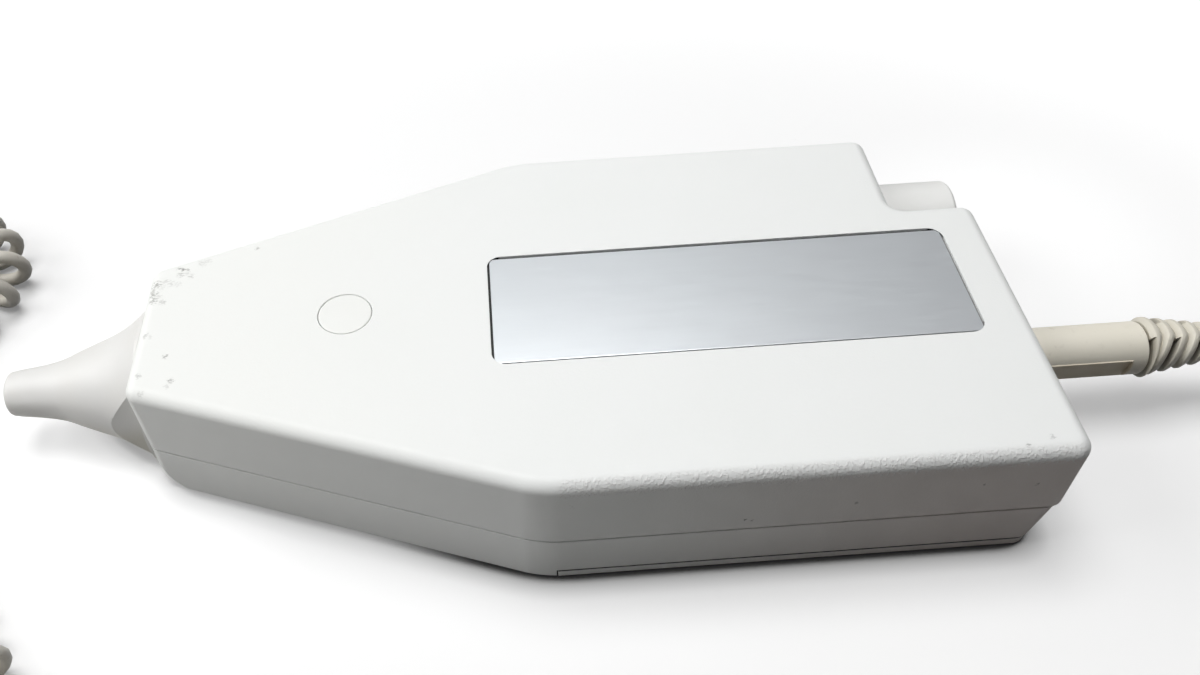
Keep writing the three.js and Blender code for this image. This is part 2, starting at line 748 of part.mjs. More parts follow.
function buttonSpring() {
  const low = switchTop + fitGap + springWireRadius;
  const high = flangeUnder - fitGap - springWireRadius;
  const steps = springTurns * curlSteps;
  const points = Array.from({ length: steps + 1 }, (_, i) => {
    const angle = (2 * Math.PI * i) / curlSteps;
    return new THREE.Vector3(
      buttonX + springRadius * Math.cos(angle),
      springRadius * Math.sin(angle),
      low + ((high - low) * i) / steps,
    );
  });
  console.log('button_spring least gap', leastGap(points, springWireRadius, curlSteps).toFixed(2), 'mm');
  return woundTube(points, springWireRadius, curlSides);
}

// Volume control

const potX = -wall - fitGap; // the pot's front face, from the notch wall's outer face

function volumeKnob() {
  const inner = knobGap;
  const outer = knobEndX - notchX;
  const hollow = knobRadius - knobWall;
  return turned('x', [
    [shaftRadius + fitGap / 2, bushingReach + fitGap],
    [hollow, bushingReach + fitGap],
    [hollow, inner],
    [knobRadius, inner],
    [knobRadius, outer - knobChamfer],
    [knobRadius - knobChamfer / 3, outer - knobChamfer / 3],
    [knobRadius - knobChamfer, outer],
    [0, outer],
    [0, outer - knobEnd],
    [shaftRadius + fitGap / 2, outer - knobEnd],
    [shaftRadius + fitGap / 2, bushingReach + fitGap],
  ], knobAt, 36);
}

function potShaft() {
  return disc('x', shaftRadius, potX - potDepth / 2, knobEndX - notchX - knobEnd - fitGap, knobAt, 24);
}

function potBody() {
  const can = disc('x', potRadius, potX - potDepth, potX, knobAt);
  const bore = disc('x', shaftRadius + slideGap, potX - potDepth / 2 - slideGap, wall, knobAt, 24);
  const tabs = [-1, 0, 1].map((i) => {
    const z = knobAxisZ + i * potTabSpacing;
    return block(
      [notchX + potX - potDepth / 2, notchX + potX - potDepth / 2 + potTabThickness],
      [knobAxisY - potRadius - potTabLength, knobAxisY - potRadius / 2],
      [z - potTabWidth / 2, z + potTabWidth / 2],
    );
  });
  return cut(join(can, ...tabs), bore);
}

function potNut() {
  const from = 2 * fitGap + washerThickness;
  const hexagon = disc('x', nutRadius, from, from + nutThickness, knobAt, 6);
  return cut(hexagon, disc('x', bushingRadius + fitGap, 0, 2 * bushingReach, knobAt, 24));
}

function ring(axis, inner, outer, from, to, at, segments = 24) {
  return turned(axis, [[inner, from], [outer, from], [outer, to], [inner, to], [inner, from]], at, segments);
}

// Jack and plugs

function jackBody() {
  const front = -wall - rearStep - fitGap; // the jack's face, from the case's rear face
  const half = jackWidth / 2;
  const body = block(
    [caseLength + front - jackDepth, caseLength + front],
    [jackY - half, jackY + half],
    [jackZ - half, jackZ + half],
  );
  const collar = disc('x', jackCollarRadius, front - wall, -handleSeat - fitGap, jackAt);
  const bore = disc('x', pinRadius + slideGap, -handleSeat - pinLength - slideGap, wall, jackAt, 24);
  return cut(join(body, collar), bore);
}

function pinProfile() {
  const waist = pinRadius * 0.72;
  return [
    [0, -pinLength],
    [pinRadius * 0.35, -pinLength],
    [pinRadius * 0.9, -pinLength + pinTipLength * 0.4],
    [waist, -pinLength + pinTipLength * 0.8],
    [pinRadius, -pinLength + pinTipLength],
    [pinRadius, -fitGap],
    [0, -fitGap],
  ];
}

// The handle starts at 0 and the strain relief follows it.
function handleProfile() {
  return [
    [0, 0],
    [handleRadius - handleEdge, 0],
    [handleRadius, handleEdge],
    [handleRadius, handleLength - handleEdge],
    [handleRadius - handleEdge, handleLength],
    [0, handleLength],
  ];
}

function reliefProfile() {
  const profile = [[0, handleLength + fitGap]];
  for (let i = 0; i < reliefRibs; i += 1) {
    const radius = THREE.MathUtils.lerp(reliefStartRadius, reliefEndRadius, i / (reliefRibs - 1));
    const from = handleLength + fitGap + i * reliefPitch;
    const ribEnd = from + reliefPitch * reliefRibShare;
    const waist = radius - reliefGroove;
    profile.push([radius, from], [radius, ribEnd]);
    if (i + 1 < reliefRibs) profile.push([waist, ribEnd], [waist, from + reliefPitch]);
  }
  const end = handleLength + fitGap + reliefLength;
  profile.push([reliefEndRadius, end], [0, end]);
  return profile;
}

// A plug lies along X with its handle's front face at the origin; the caller places it.
function plugPieces() {
  const facetFrom = handleSeat + 2 * fitGap;
  const facetTo = handleLength - handleFacetEnd;
  const facet = new THREE.BoxGeometry(facetTo - facetFrom, handleRadius, 3 * handleRadius);
  facet.translate((facetFrom + facetTo) / 2, 1.5 * handleRadius - handleFacetDepth, 0);
  facet.rotateX(Math.PI + THREE.MathUtils.degToRad(handleFacetAngle));
  return {
    pin: turned('x', pinProfile(), [0, 0, 0], 12),
    handle: cut(turned('x', handleProfile(), [0, 0, 0], 24), solid(facet)),
    relief: turned('x', reliefProfile(), [0, 0, 0], 12),
  };
}

// Headset cord

const curlAxis = new THREE.CatmullRomCurve3(
  curlRoute.map(([x, y]) => new THREE.Vector3(x, y, curlZ)), false, 'centripetal',
);
curlAxis.arcLengthDivisions = 2000;
const up = new THREE.Vector3(0, 0, 1);
const leftOf = (u) => up.clone().cross(curlAxis.getTangentAt(u).setZ(0).normalize());
const underCurl = (u) => curlAxis.getPointAt(u).setZ(cordRadius);

function curlPoints() {
  const turns = Math.round(curlAxis.getLength() / curlPitch);
  const points = [underCurl(0).addScaledVector(leftOf(0), -cordDiameter)];
  for (let i = 0; i <= turns * curlSteps; i += 1) {
    const u = i / (turns * curlSteps);
    const angle = (2 * Math.PI * i) / curlSteps - Math.PI / 2;
    const point = curlAxis.getPointAt(u).addScaledVector(leftOf(u), curlRadius * Math.cos(angle));
    points.push(point.addScaledVector(up, curlRadius * Math.sin(angle)));
  }
  points.push(underCurl(1).addScaledVector(leftOf(1), cordDiameter));
  const gap = leastGap(points, cordRadius, curlSteps).toFixed(2);
  console.log('curly_cord turns', turns, 'least gap', gap, 'mm');
  return points;
}

const plugFaceX = caseLength - handleSeat;
const reliefEndX = plugFaceX + handleLength + fitGap + reliefLength;
const straight = 2 * cordDiameter;

function cordLead() {
  const end = underCurl(0).addScaledVector(leftOf(0), -cordDiameter - fitGap);
  return tube([
    [reliefEndX + fitGap, jackY, jackZ],
    [reliefEndX + fitGap + straight, jackY, jackZ - 0.2],
    ...leadRoute,
    end.clone().addScaledVector(leftOf(0), -straight).toArray(),
    end.toArray(),
  ], cordRadius, cordSides, 24);
}

function cordTail() {
  const start = underCurl(1).addScaledVector(leftOf(1), cordDiameter + fitGap);
  return tube([
    start.toArray(),
    start.clone().addScaledVector(leftOf(1), cordDiameter).toArray(),
    ...tailRoute,
    [farPlugX, farReliefY + straight, reliefStartRadius],
    [farPlugX, farReliefY + fitGap, reliefStartRadius],
  ], cordRadius, cordSides, 10);
}

// Electronics

function boardShape() {
  const outline = slab(insetCorners(caseCorners, wall + boardEdgeGap), boardZ, boardTop);
  const room = block([boardFrontX, boardRearX], [-whole, whole], [-whole, whole]);
  return outline.intersect(room);
}

// A chip with two rows of legs along Y, standing on the board.
function chip(x, y, legs) {
  const length = (legs / 2) * chipLegPitch;
  const half = chipWidth / 2;
  const under = componentFoot + chipStand;
  const body = block([x - half, x + half], [y - length / 2, y + length / 2], [under, under + chipHeight]);
  const feet = [];
  for (let i = 0; i < legs / 2; i += 1) {
    const middle = y - length / 2 + (i + 0.5) * chipLegPitch;
    for (const side of [-1, 1]) {
      const across = [x + side * (half - chipLegThickness / 5), x + side * (half + chipLegThickness)];
      feet.push(block(
        [Math.min(...across), Math.max(...across)],
        [middle - chipLegWidth / 2, middle + chipLegWidth / 2],
        [componentFoot, under + chipHeight / 2],
      ));
    }
  }
  return join(body, ...feet);
}

function can([x, y], length, width, height, radius) {
  return slab(
    rectangle([x - length / 2, x + length / 2], [y - width / 2, y + width / 2], radius),
    componentFoot, componentFoot + height,
  );
}

function coilCan(side) {
  const at = [boardFrontX + coilCanFromFront, side * 2 * coilCanSize];
  return can(at, coilCanSize, coilCanSize, coilCanHeight, coilCanSize / 10);
}

function crystalCan() {
  const at = [buttonX - crystalCanFromButton, 0];
  return can(at, crystalCanLength, crystalCanWidth, crystalCanHeight, 0.48 * crystalCanLength);
}

function capacitor(x, y, radius, height) {
  const top = componentFoot + height;
  const waist = componentFoot + radius / 2;
  const crimp = radius / 10;
  return turned('z', [
    [0, componentFoot], [radius, componentFoot], [radius, waist - crimp], [radius - crimp, waist],
    [radius, waist + crimp], [radius, top - crimp], [radius - crimp, top], [0, top],
  ], [x, y, 0], 14);
}

const largeCapacitor = (x, y) => capacitor(x, y, largeCapacitorRadius, largeCapacitorHeight);
const smallCapacitor = (x, y) => capacitor(x, y, smallCapacitorRadius, smallCapacitorHeight);

function trimmer(x, y) {
  const top = componentFoot + trimmerHeight;
  const half = trimmerSlot / 2;
  const slot = block(
    [x - trimmerRadius / 2, x + trimmerRadius / 2],
    [y - half, y + half],
    [top - trimmerSlot, top + trimmerSlot],
  );
  return cut(disc('z', trimmerRadius, componentFoot, top, [x, y, 0], smallSides), slot);
}

// A round body with one flat side.
function transistor(x, y) {
  const top = componentFoot + transistorHeight;
  const body = disc('z', transistorRadius, componentFoot, top, [x, y, 0], smallSides);
  return cut(body, block([x + transistorRadius / 2, whole], [-whole, whole], [-whole, whole]));
}

function battery() {
  const half = batteryWidth / 2;
  const flat = rectangle([-half, half], [batteryZ, batteryZ + batteryHeight], batteryEdge);
  const upright = new THREE.ExtrudeGeometry(roundedShape(flat), {
    depth: batteryLength, bevelEnabled: false,
  });
  upright.rotateX(Math.PI / 2).rotateZ(Math.PI / 2).translate(batteryX, 0, 0);
  const studs = [-1, 1].map((side) => disc(
    'x', terminalRadius, -terminalHeight, wall, [batteryX, (side * terminalSpacing) / 2, batteryMiddleZ], 16,
  ));
  return join(solid(upright), ...studs);
}

function batterySnap() {
  const half = terminalSpacing / 2 + terminalRadius + cradleWall;
  const plate = block(
    [batteryX - fitGap - snapThickness, batteryX - fitGap],
    [-half, half],
    [batteryMiddleZ - snapHalfHeight, batteryMiddleZ + snapHalfHeight],
  );
  const sockets = [-1, 1].map((side) => {
    const at = [batteryX, (side * terminalSpacing) / 2, batteryMiddleZ];
    return disc('x', terminalRadius + slideGap, -fitGap - snapBore, wall, at, smallSides);
  });
  return cut(plate, ...sockets);
}

function batteryPad() {
  const middle = batteryX + batteryLength / 2;
  return slab(rectangle(
    [middle - padLength / 2, middle + padLength / 2], [-padWidth / 2, padWidth / 2], 1,
  ), batteryZ + batteryHeight + fitGap, roofZ - fitGap);
}

// A wire from the snap's front face over the cradle and down to the board.
function batteryLead(side) {
  const from = batteryX - 2 * fitGap - snapThickness;
  const lane = side * batteryWireSpacing;
  const high = batteryMiddleZ + batteryWireSpacing;
  return tube([
    [from, lane, high],
    [from - 2.5, lane, high],
    [bayFrontX - cradleWall, lane, high - 1.5],
    [boardRearX - 2.5, 1.5 * lane, boardTop + 3],
    [boardRearX - 3, 1.5 * lane, componentFoot + batteryWireRadius / 3],
  ], batteryWireRadius);
}

// A cable that runs beside the battery from a part at the rear and ends on the board.
function cable(from, side, z) {
  const lane = side * cableY;
  const end = boardRearX - 5;
  return tube([
    ...from,
    [bayRearX - 12, lane, z],
    [bayFrontX, lane, z],
    [end + 1, lane, boardTop + 3],
    [end, lane, componentFoot + cableRadius / 3],
  ], cableRadius, 6, 20);
}

function potCable() {
  const x = notchX + potX - potDepth / 2 - fitGap;
  const tabEnd = knobAxisY - potRadius - potTabLength / 2;
  return cable([
    [x, tabEnd, knobAxisZ],
    [x - potDepth / 2 - cableRadius, tabEnd, knobAxisZ],
    [x - potDepth - 2 * cableRadius, cableY, knobAxisZ],
  ], 1, knobAxisZ);
}

function jackCable() {
  const back = caseLength - wall - rearStep - fitGap - jackDepth;
  return cable([
    [back - fitGap, jackY - cableLane, jackZ],
    [back - 3, jackY - cableLane - 0.5, jackZ],
    [back - 8, 0.6 - cableY, jackZ],
  ], -1, jackZ);
}

// Assembly

const instrument = new THREE.Group();
instrument.position.x = -(knobEndX - noseLength) / 2;

instrument.add(
  piece('top_shell', topShell(), paint.shell),
  piece('bottom_shell', bottomShell(), paint.shell),
  piece('battery_door', batteryDoor(), paint.shell),
  piece('label_plate', labelPlate(), paint.label),
  ...screwPlaces.map((place, i) => piece(`case_screw_${i + 1}`, caseScrew(place), paint.metal)),
);

instrument.add(
  piece('nose_cone', noseCone(), paint.nose),
  piece('transducer_lens', transducerLens(), paint.epoxy),
  piece('sending_crystal', halfCrystal(-1), paint.ceramic),
  piece('receiving_crystal', halfCrystal(1), paint.ceramic),
  piece('crystal_backing', crystalBacking(), paint.foam),
  piece('sending_lead', probeLead(-1), paint.black),
  piece('receiving_lead', probeLead(1), paint.metal),
);

instrument.add(
  piece('button_cap', buttonCap(), paint.button),
  piece('button_spring', buttonSpring(), paint.metal),
  piece('switch_body', switchBody(), paint.black),
  piece('switch_plunger', switchPlunger(), paint.red),
);

instrument.add(
  piece('volume_knob', volumeKnob(), paint.knob),
  piece('volume_shaft', potShaft(), paint.metal),
  piece('potentiometer', potBody(), paint.metal),
  piece('pot_bushing', ring('x', shaftRadius + slideGap, bushingRadius, potX + fitGap, bushingReach, knobAt),
    paint.brass),
  piece('pot_washer', ring('x', bushingRadius + fitGap, nutRadius, fitGap, fitGap + washerThickness, knobAt),
    paint.metal),
  piece('pot_nut', potNut(), paint.brass),
  piece('pot_cable', potCable(), paint.black),
);

instrument.add(
  piece('battery', battery(), paint.black),
  piece('battery_snap', batterySnap(), paint.black),
  piece('battery_pad', batteryPad(), paint.foam),
  piece('positive_lead', batteryLead(1), paint.red),
  piece('negative_lead', batteryLead(-1), paint.black),
);

instrument.add(
  piece('circuit_board', boardShape(), paint.board),
  piece('amplifier_chip', chip(chipColumnX, -amplifierY, amplifierLegs), paint.black),
  piece('mixer_chip', chip(chipColumnX, mixerY, mixerLegs), paint.black),
  piece('quartz_crystal', crystalCan(), paint.metal),
  piece('sending_coil_can', coilCan(-1), paint.metal),
  piece('receiving_coil_can', coilCan(1), paint.metal),
  piece('supply_capacitor', largeCapacitor(rearColumnX, outerRowY), paint.blue),
  piece('output_capacitor', largeCapacitor(chipColumnX, outerRowY), paint.blue),
  piece('coupling_capacitor', smallCapacitor(chipColumnX, -outerRowY), paint.blue),
  piece('gain_trimmer', trimmer(rearColumnX, -outerRowY), paint.blue),
  piece('driver_transistor', transistor(chipColumnX, transistorY), paint.black),
);

instrument.add(piece('headset_jack', jackBody(), paint.black), piece('jack_cable', jackCable(), paint.black));

const { pin, handle, relief } = plugPieces();
const nearPlug = new THREE.Group();
nearPlug.position.set(plugFaceX, jackY, jackZ);
nearPlug.add(
  piece('plug_pin', pin, paint.metal),
  piece('plug_handle', handle, paint.plug),
  piece('strain_relief', relief, paint.plug),
);
const farPlug = new THREE.Group();
farPlug.position.set(farPlugX, farReliefY - reliefLength - fitGap - handleLength, reliefStartRadius);
farPlug.rotation.z = Math.PI / 2;
farPlug.add(
  piece('headset_plug_pin', pin, paint.metal),
  piece('headset_plug_handle', handle, paint.plug),
  piece('headset_strain_relief', relief, paint.plug),
);
instrument.add(
  nearPlug,
  farPlug,
  piece('cord_lead', cordLead(), paint.cord),
  piece('curly_cord', woundTube(curlPoints(), cordRadius, curlSides), paint.cord),
  piece('cord_tail', cordTail(), paint.cord),
);

export default instrument;
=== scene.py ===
"""The looks of a pocket ultrasound stethoscope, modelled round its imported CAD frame.

Sizes are in millimetres in the case's own frame: x = 0 at the flat front of the case, +X towards the
cord, y = 0 on the centre line and z = 0 on the table. at() turns such a point into the row frame.
"""

import json
import math
from contextlib import contextmanager

import bmesh
import bpy
from mathutils import Matrix, Vector


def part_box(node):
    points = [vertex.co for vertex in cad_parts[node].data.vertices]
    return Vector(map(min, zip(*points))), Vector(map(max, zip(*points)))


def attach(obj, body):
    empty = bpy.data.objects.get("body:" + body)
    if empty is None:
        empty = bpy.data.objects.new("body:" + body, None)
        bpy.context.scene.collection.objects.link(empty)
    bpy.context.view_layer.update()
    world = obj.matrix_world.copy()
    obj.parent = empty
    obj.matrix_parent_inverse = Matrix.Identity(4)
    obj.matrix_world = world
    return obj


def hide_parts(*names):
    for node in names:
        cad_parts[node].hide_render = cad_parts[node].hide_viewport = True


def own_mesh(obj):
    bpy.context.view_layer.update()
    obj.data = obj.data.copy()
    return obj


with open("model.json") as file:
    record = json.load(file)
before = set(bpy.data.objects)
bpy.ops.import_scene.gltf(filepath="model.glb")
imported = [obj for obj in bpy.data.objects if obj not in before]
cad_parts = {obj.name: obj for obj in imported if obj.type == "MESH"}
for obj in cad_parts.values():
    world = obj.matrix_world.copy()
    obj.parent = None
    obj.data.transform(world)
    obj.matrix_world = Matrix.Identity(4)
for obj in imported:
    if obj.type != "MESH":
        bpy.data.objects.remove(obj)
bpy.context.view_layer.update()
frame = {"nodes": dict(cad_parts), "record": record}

MM = 0.001
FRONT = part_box("top_shell")[0].x  # the flat front of the case in the row frame
FAR = 400  # past everything, for cutting tools


def at(x, y, z):
    """A point of the case's own frame, in metres in the row frame."""
    return Vector((FRONT + x * MM, y * MM, z * MM))


def case_point(co):
    """A point of the row frame, in the case's own millimetres."""
    return Vector(((co.x - FRONT) / MM, co.y / MM, co.z / MM))


def node_box(node):
    """The lowest and highest corner of a CAD node, in the case's own millimetres."""
    low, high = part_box(node)
    return case_point(low), case_point(high)


def new_object(name, data):
    """An object in the scene that holds the data."""
    holder = bpy.data.objects.new(name, data)
    bpy.context.scene.collection.objects.link(holder)
    return holder


# Sizes

top_high = node_box("top_shell")[1]
LENGTH, HALF_WIDTH, HEIGHT = top_high
WALL = 2.4
ROOF = HEIGHT - WALL
SEAM = (11.25, 11.55)  # the lower case ends and the upper case starts
SEAM_REAR = node_box("bottom_shell")[1].x  # the lower case's rear leans out to here at the seam
BOTTOM_REAR = node_box("battery_door")[1].x
FRONT_HALF = 14.9
KNEE_X = 68.4  # the taper ends here
KNEE_ROUND = 18
TAPER = math.atan2(HALF_WIDTH - FRONT_HALF, KNEE_X)
TAPER_DEGREES = math.degrees(TAPER)
TOP_ROUND = 2.3
CORNER = 2.75  # radius of the upright edges
NOTCH_CORNER = 2.6
NOTCH_X, NOTCH_Y = 140, 18.3
FRONT_ROUND = (7, 10.4)  # the bottom front edge is a quarter ellipse

UNDER_SHELL = 2.45  # the shell's floor above the battery door
FLOOR_TOP = UNDER_SHELL + WALL
DOOR_FRONT = 71
BAY_X, BAY_HALF = (74, 125.9), 13.85  # the battery's bay
CRADLE_WALL = 1.6
RUNNER_Y = 26
SCREWS = [(11.4, -9.6, 0), (11.4, 9.6, 0), (121, -33, UNDER_SHELL), (121, 33, UNDER_SHELL)]
BOSS_RADIUS, SCREW_BORE = 3.2, 1.5
SCREW_SEAT = 2.1  # how deep the screws' heads sit
BOARD_POSTS = [(22, -12), (22, 12), (56.2, -29), (56.2, 29)]

LABEL_X = (62.2, 146.7)
LABEL_Y = (-14.3, 11.9)
LABEL_RADIUS = 2.6
RECESS = HEIGHT - 0.5

NOSE_Z = 11.5
NOSE_TIP = -27.8
BUTTON_X = 36.7
KNOB_Y, KNOB_Z = 28.3, 13.5
KNOB_RADIUS, KNOB_LENGTH = 8, 16.2
JACK_Y, JACK_Z = -9.1, 13.5

PLUG_FACE = 153.2  # the near plug's handle starts here
GRIP_LENGTH = 26.2
GRIP_RADIUS = 4.85
GRIP_FLAT = 4.13  # from the axis to the flat
FLAT_TURN = 100.5  # degrees from straight up to the way the flat faces
BOOT_START = GRIP_LENGTH + 0.3
BOOT_RADIUS = 5.5
BOOT_RIBS = 8
BOOT_PITCH = 2.6
BOOT_LENGTH = BOOT_RIBS * BOOT_PITCH
SLOT_TURN = 198  # degrees round the axis to the middle of the slotted half


# Camera

def set_camera():
    """The photograph's viewpoint: close above the near side, looking a little to the right."""
    lens = bpy.data.cameras.new("camera")
    lens.lens = 31.79
    lens.sensor_width = 36
    lens.shift_x = 0.06
    lens.clip_start = 0.01
    lens.clip_end = 50
    place = Vector((0.00176, -0.13077, 0.16214))
    forward = Vector((0.01765, 0.67030, -0.74188)).normalized()
    right = Vector((0.9975, -0.0620, -0.0332))
    right = (right - forward * right.dot(forward)).normalized()
    up = right.cross(forward)
    camera = new_object("camera", lens)
    camera.matrix_world = Matrix.Translation(place) @ Matrix((right, up, -forward)).transposed().to_4x4()
    bpy.context.scene.camera = camera


set_camera()


# Routes of the cord

CORD_RADIUS = 1.4
CURL_RADIUS = 4.85  # to the middle of the wire
CURL_TURNS = 57
CURL_STEPS = 20  # points in a turn
CURL_ROUTE = [
    (206, -75), (150, -75), (90, -75), (35, -75), (4, -73), (-12, -65.5), (-22, -53.5), (-33, -37),
    (-43.5, -18), (-51, 0), (-52, 14), (-48, 25), (-43.6, 34), (-43.2, 41.5), (-47.6, 48.5),
    (-54.5, 54), (-62, 59),
]
LEAD_ROUTE = [
    (200.8, -9.1, 13.5), (206.4, -9.1, 13.3), (211.5, -11.3, 11.2), (215, -17, 7.4),
    (216, -25, 3.8), (215, -35, 1.7), (212.5, -46, 1.45), (208.5, -58, 1.45),
]
TAIL_ROUTE = [(-68.5, 48.8, 1.7), (-74, 40.5, 3.6), (-78, 35.6, 5.5), (-78, 30.3, 5.5)]


def smooth_through(points, steps):
    """A smooth curve through the points, with so many steps between each two."""
    points = [Vector(p) for p in points]
    padded = [2 * points[0] - points[1], *points, 2 * points[-1] - points[-2]]
    curve = [points[0]]
    for a, b, c, d in zip(padded, padded[1:], padded[2:], padded[3:]):
        before, between, after = ((q - p).length ** 0.5 for p, q in ((a, b), (b, c), (c, d)))
        out = (b - a) / before - (c - a) / (before + between) + (c - b) / between
        into = (c - b) / between - (d - b) / (between + after) + (d - c) / after
        out, into = out * between, into * between
        for i in range(1, steps + 1):
            t = i / steps
            curve.append(
                b + out * t
                + (3 * (c - b) - 2 * out - into) * t ** 2
                + (2 * (b - c) + out + into) * t ** 3
            )
    return curve


def evenly(curve, count):
    """The curve again, as count equal steps."""
    lengths = [0.0]
    for p, q in zip(curve, curve[1:]):
        lengths.append(lengths[-1] + (q - p).length)
    result, i = [], 0
    for k in range(count + 1):
        wanted = lengths[-1] * k / count
        while i + 2 < len(lengths) and lengths[i + 1] < wanted:
            i += 1
        share = (wanted - lengths[i]) / (lengths[i + 1] - lengths[i])
        result.append(curve[i].lerp(curve[i + 1], share))
    return result


def left_of(points, i):
    ahead = points[min(i + 1, len(points) - 1)] - points[max(i - 1, 0)]
    return Vector((-ahead.y, ahead.x, 0)).normalized()


def cord_points():
    """The middle of the wire from the plug's boot, through the curls, to the headset plug's boot."""
    steps = CURL_TURNS * CURL_STEPS
    axis_height = CURL_RADIUS + CORD_RADIUS
    axis = evenly(smooth_through([(x, y, axis_height) for x, y in CURL_ROUTE], 60), steps)
    curls = []
    for i, middle in enumerate(axis):
        angle = 2 * math.pi * i / CURL_STEPS - math.pi / 2
        sideways = left_of(axis, i) * CURL_RADIUS * math.cos(angle)
        curls.append(middle + sideways + Vector((0, 0, CURL_RADIUS * math.sin(angle))))
    start, end = left_of(axis, 0), left_of(axis, steps)
    lead = [*LEAD_ROUTE, curls[0] - start * 8.7, curls[0] - start * 3.1, curls[0]]
    tail = [curls[-1], curls[-1] + end * 3.1, curls[-1] + end * 5.9, *TAIL_ROUTE]
    lead, tail = (smooth_through(route, 12) for route in (lead, tail))
    return lead[:-1] + curls + tail[1:]


# Finishes

finishes = {}  # by the name of the material slot


def new_material(name, colour, roughness, metallic=0.0, **sockets):
    """A material with its plain values on the shader's own sockets."""
    material = finishes[name] = bpy.data.materials.new(name)
    material.use_nodes = True
    shader_socket(material, "Base Color").default_value = (*colour, 1)
    for socket, value in {"Roughness": roughness, "Metallic": metallic, **sockets}.items():
        shader_socket(material, socket.replace("_", " ")).default_value = value
    return material


def shader_socket(material, name):
    return material.node_tree.nodes["Principled BSDF"].inputs[name]


def feed(owner, socket, value):
    """Gives a socket in a material or world a plain value, or links another socket to it."""
    if isinstance(value, bpy.types.NodeSocket):
        owner.node_tree.links.new(value, socket)
    else:
        socket.default_value = value


def new_node(owner, kind, inputs=(), **settings):
    """The outputs of a new node, with its settings and what feeds its inputs."""
    node = owner.node_tree.nodes.new("ShaderNode" + kind)
    for setting, value in settings.items():
        setattr(node, setting, value)
    for socket, value in dict(inputs).items():
        feed(owner, node.inputs[socket], value)
    return node.outputs


def place_of(material):
    """Where each point of the piece lies: its object coordinates, in metres in the row frame."""
    return new_node(material, "TexCoord")["Object"]


def axes_of(material):
    """The X, Y and Z of where each point lies."""
    return new_node(material, "SeparateXYZ", {0: place_of(material)})


def distance_from(material, place):
    """How far each point lies from the place, in metres."""
    ends = {0: place_of(material), 1: place}
    return new_node(material, "VectorMath", ends, operation="DISTANCE")["Value"]


def pattern_place(material, stretch=(1, 1, 1)):
    """Object coordinates, stretched to give a pattern its direction."""
    return new_node(material, "Mapping", {"Vector": place_of(material), "Scale": stretch})["Vector"]


def noise(material, grain, detail=2.0, stretch=(1, 1, 1)):
    """Cloudy noise whose clouds are about grain millimetres across."""
    return new_node(material, "TexNoise", {
        "Vector": pattern_place(material, stretch), "Scale": 1 / (grain * MM), "Detail": detail,
    })["Fac"]


def spread(material, source, low, high, to_low=0.0, to_high=1.0, smooth=False):
    """Source from low to high, spread out from to_low to to_high."""
    return new_node(material, "MapRange", {
        "Value": source, "From Min": low, "From Max": high, "To Min": to_low, "To Max": to_high,
    }, interpolation_type="SMOOTHSTEP" if smooth else "LINEAR")["Result"]


def reckon(material, operation, *values):
    """One sum of one or two values, each a socket or a number."""
    return new_node(material, "Math", dict(enumerate(values)), operation=operation)[0]


def blend(owner, share, below, above):
    """The colour above over the one below, where share is high."""
    return new_node(owner, "Mix", {"Factor": share, "A": below, "B": above}, data_type="RGBA")["Result"]


def ramp(owner, source, stops):
    """A colour for each value of the source, through stops of value and colour."""
    node = owner.node_tree.nodes.new("ShaderNodeValToRGB")
    elements = node.color_ramp.elements
    elements[0].position, elements[0].color = stops[0]
    elements[1].position, elements[1].color = stops[-1]
    for value, colour in stops[1:-1]:
        elements.new(value).color = colour
    feed(owner, node.inputs["Fac"], source)
    return node.outputs["Color"]


def tint(material, share, colour):
    """Mixes a colour over what the base colour is so far, where share is high."""
    base = shader_socket(material, "Base Color")
    so_far = base.links[0].from_socket if base.is_linked else base.default_value
    feed(material, base, blend(material, share, so_far, (*colour, 1)))


def relief(material, height, depth, strength=1.0):
    """Adds a bump of so many millimetres on what the surface has so far."""
    normal = shader_socket(material, "Normal")
    inputs = {"Height": height, "Distance": depth * MM, "Strength": strength}
    if normal.is_linked:
        inputs["Normal"] = normal.links[0].from_socket
    feed(material, normal, new_node(material, "Bump", inputs)["Normal"])


def clouds(material, grain, share, colour, detail=3):
    """Faint clouds of another colour, about grain millimetres across."""
    tint(material, spread(material, noise(material, grain, detail), 0.4, 0.7, 0, share), colour)


def gloss(material, source, low, high):
    """Lets the roughness wander between low and high."""
    feed(material, shader_socket(material, "Roughness"), spread(material, source, 0.3, 0.7, low, high))


def within(material, low, high, soft=1.0):
    """High inside a box of the case's millimetres, fading over soft millimetres at its sides."""
    axes = axes_of(material)
    share = None
    low, high = at(*low), at(*high)
    for i in range(3):
        middle, half = (low[i] + high[i]) / 2, (high[i] - low[i]) / 2
        away = reckon(material, "ABSOLUTE", reckon(material, "SUBTRACT", axes[i], middle))
        inside = spread(material, away, half, half + soft * MM, 1, 0, smooth=True)
        share = inside if share is None else reckon(material, "MULTIPLY", share, inside)
    return share


def tint_box(material, low, high, soft, colour):
    tint(material, within(material, low, high, soft), colour)


def specks(material, places):
    """Small soft marks at the given places: x, y, z and radius in millimetres, and how dark."""
    wobble = spread(material, noise(material, 0.55, 3, (1, 1.7, 1)), 0.36, 0.64, 0, 1, smooth=True)
    share = None
    for x, y, z, radius, darkness in places:
        size = radius * MM
        edge = reckon(material, "MULTIPLY", wobble, 0.8 * size)
        away = reckon(material, "ADD", distance_from(material, at(x, y, z)), edge)
        mark = spread(material, away, 0.4 * size, 1.3 * size, darkness, 0, smooth=True)
        share = mark if share is None else reckon(material, "MAXIMUM", share, mark)
    return share


def along_case(material):
    """How far each point lies behind the case's front, in millimetres."""
    return reckon(material, "DIVIDE", reckon(material, "SUBTRACT", axes_of(material)["X"], FRONT), MM)


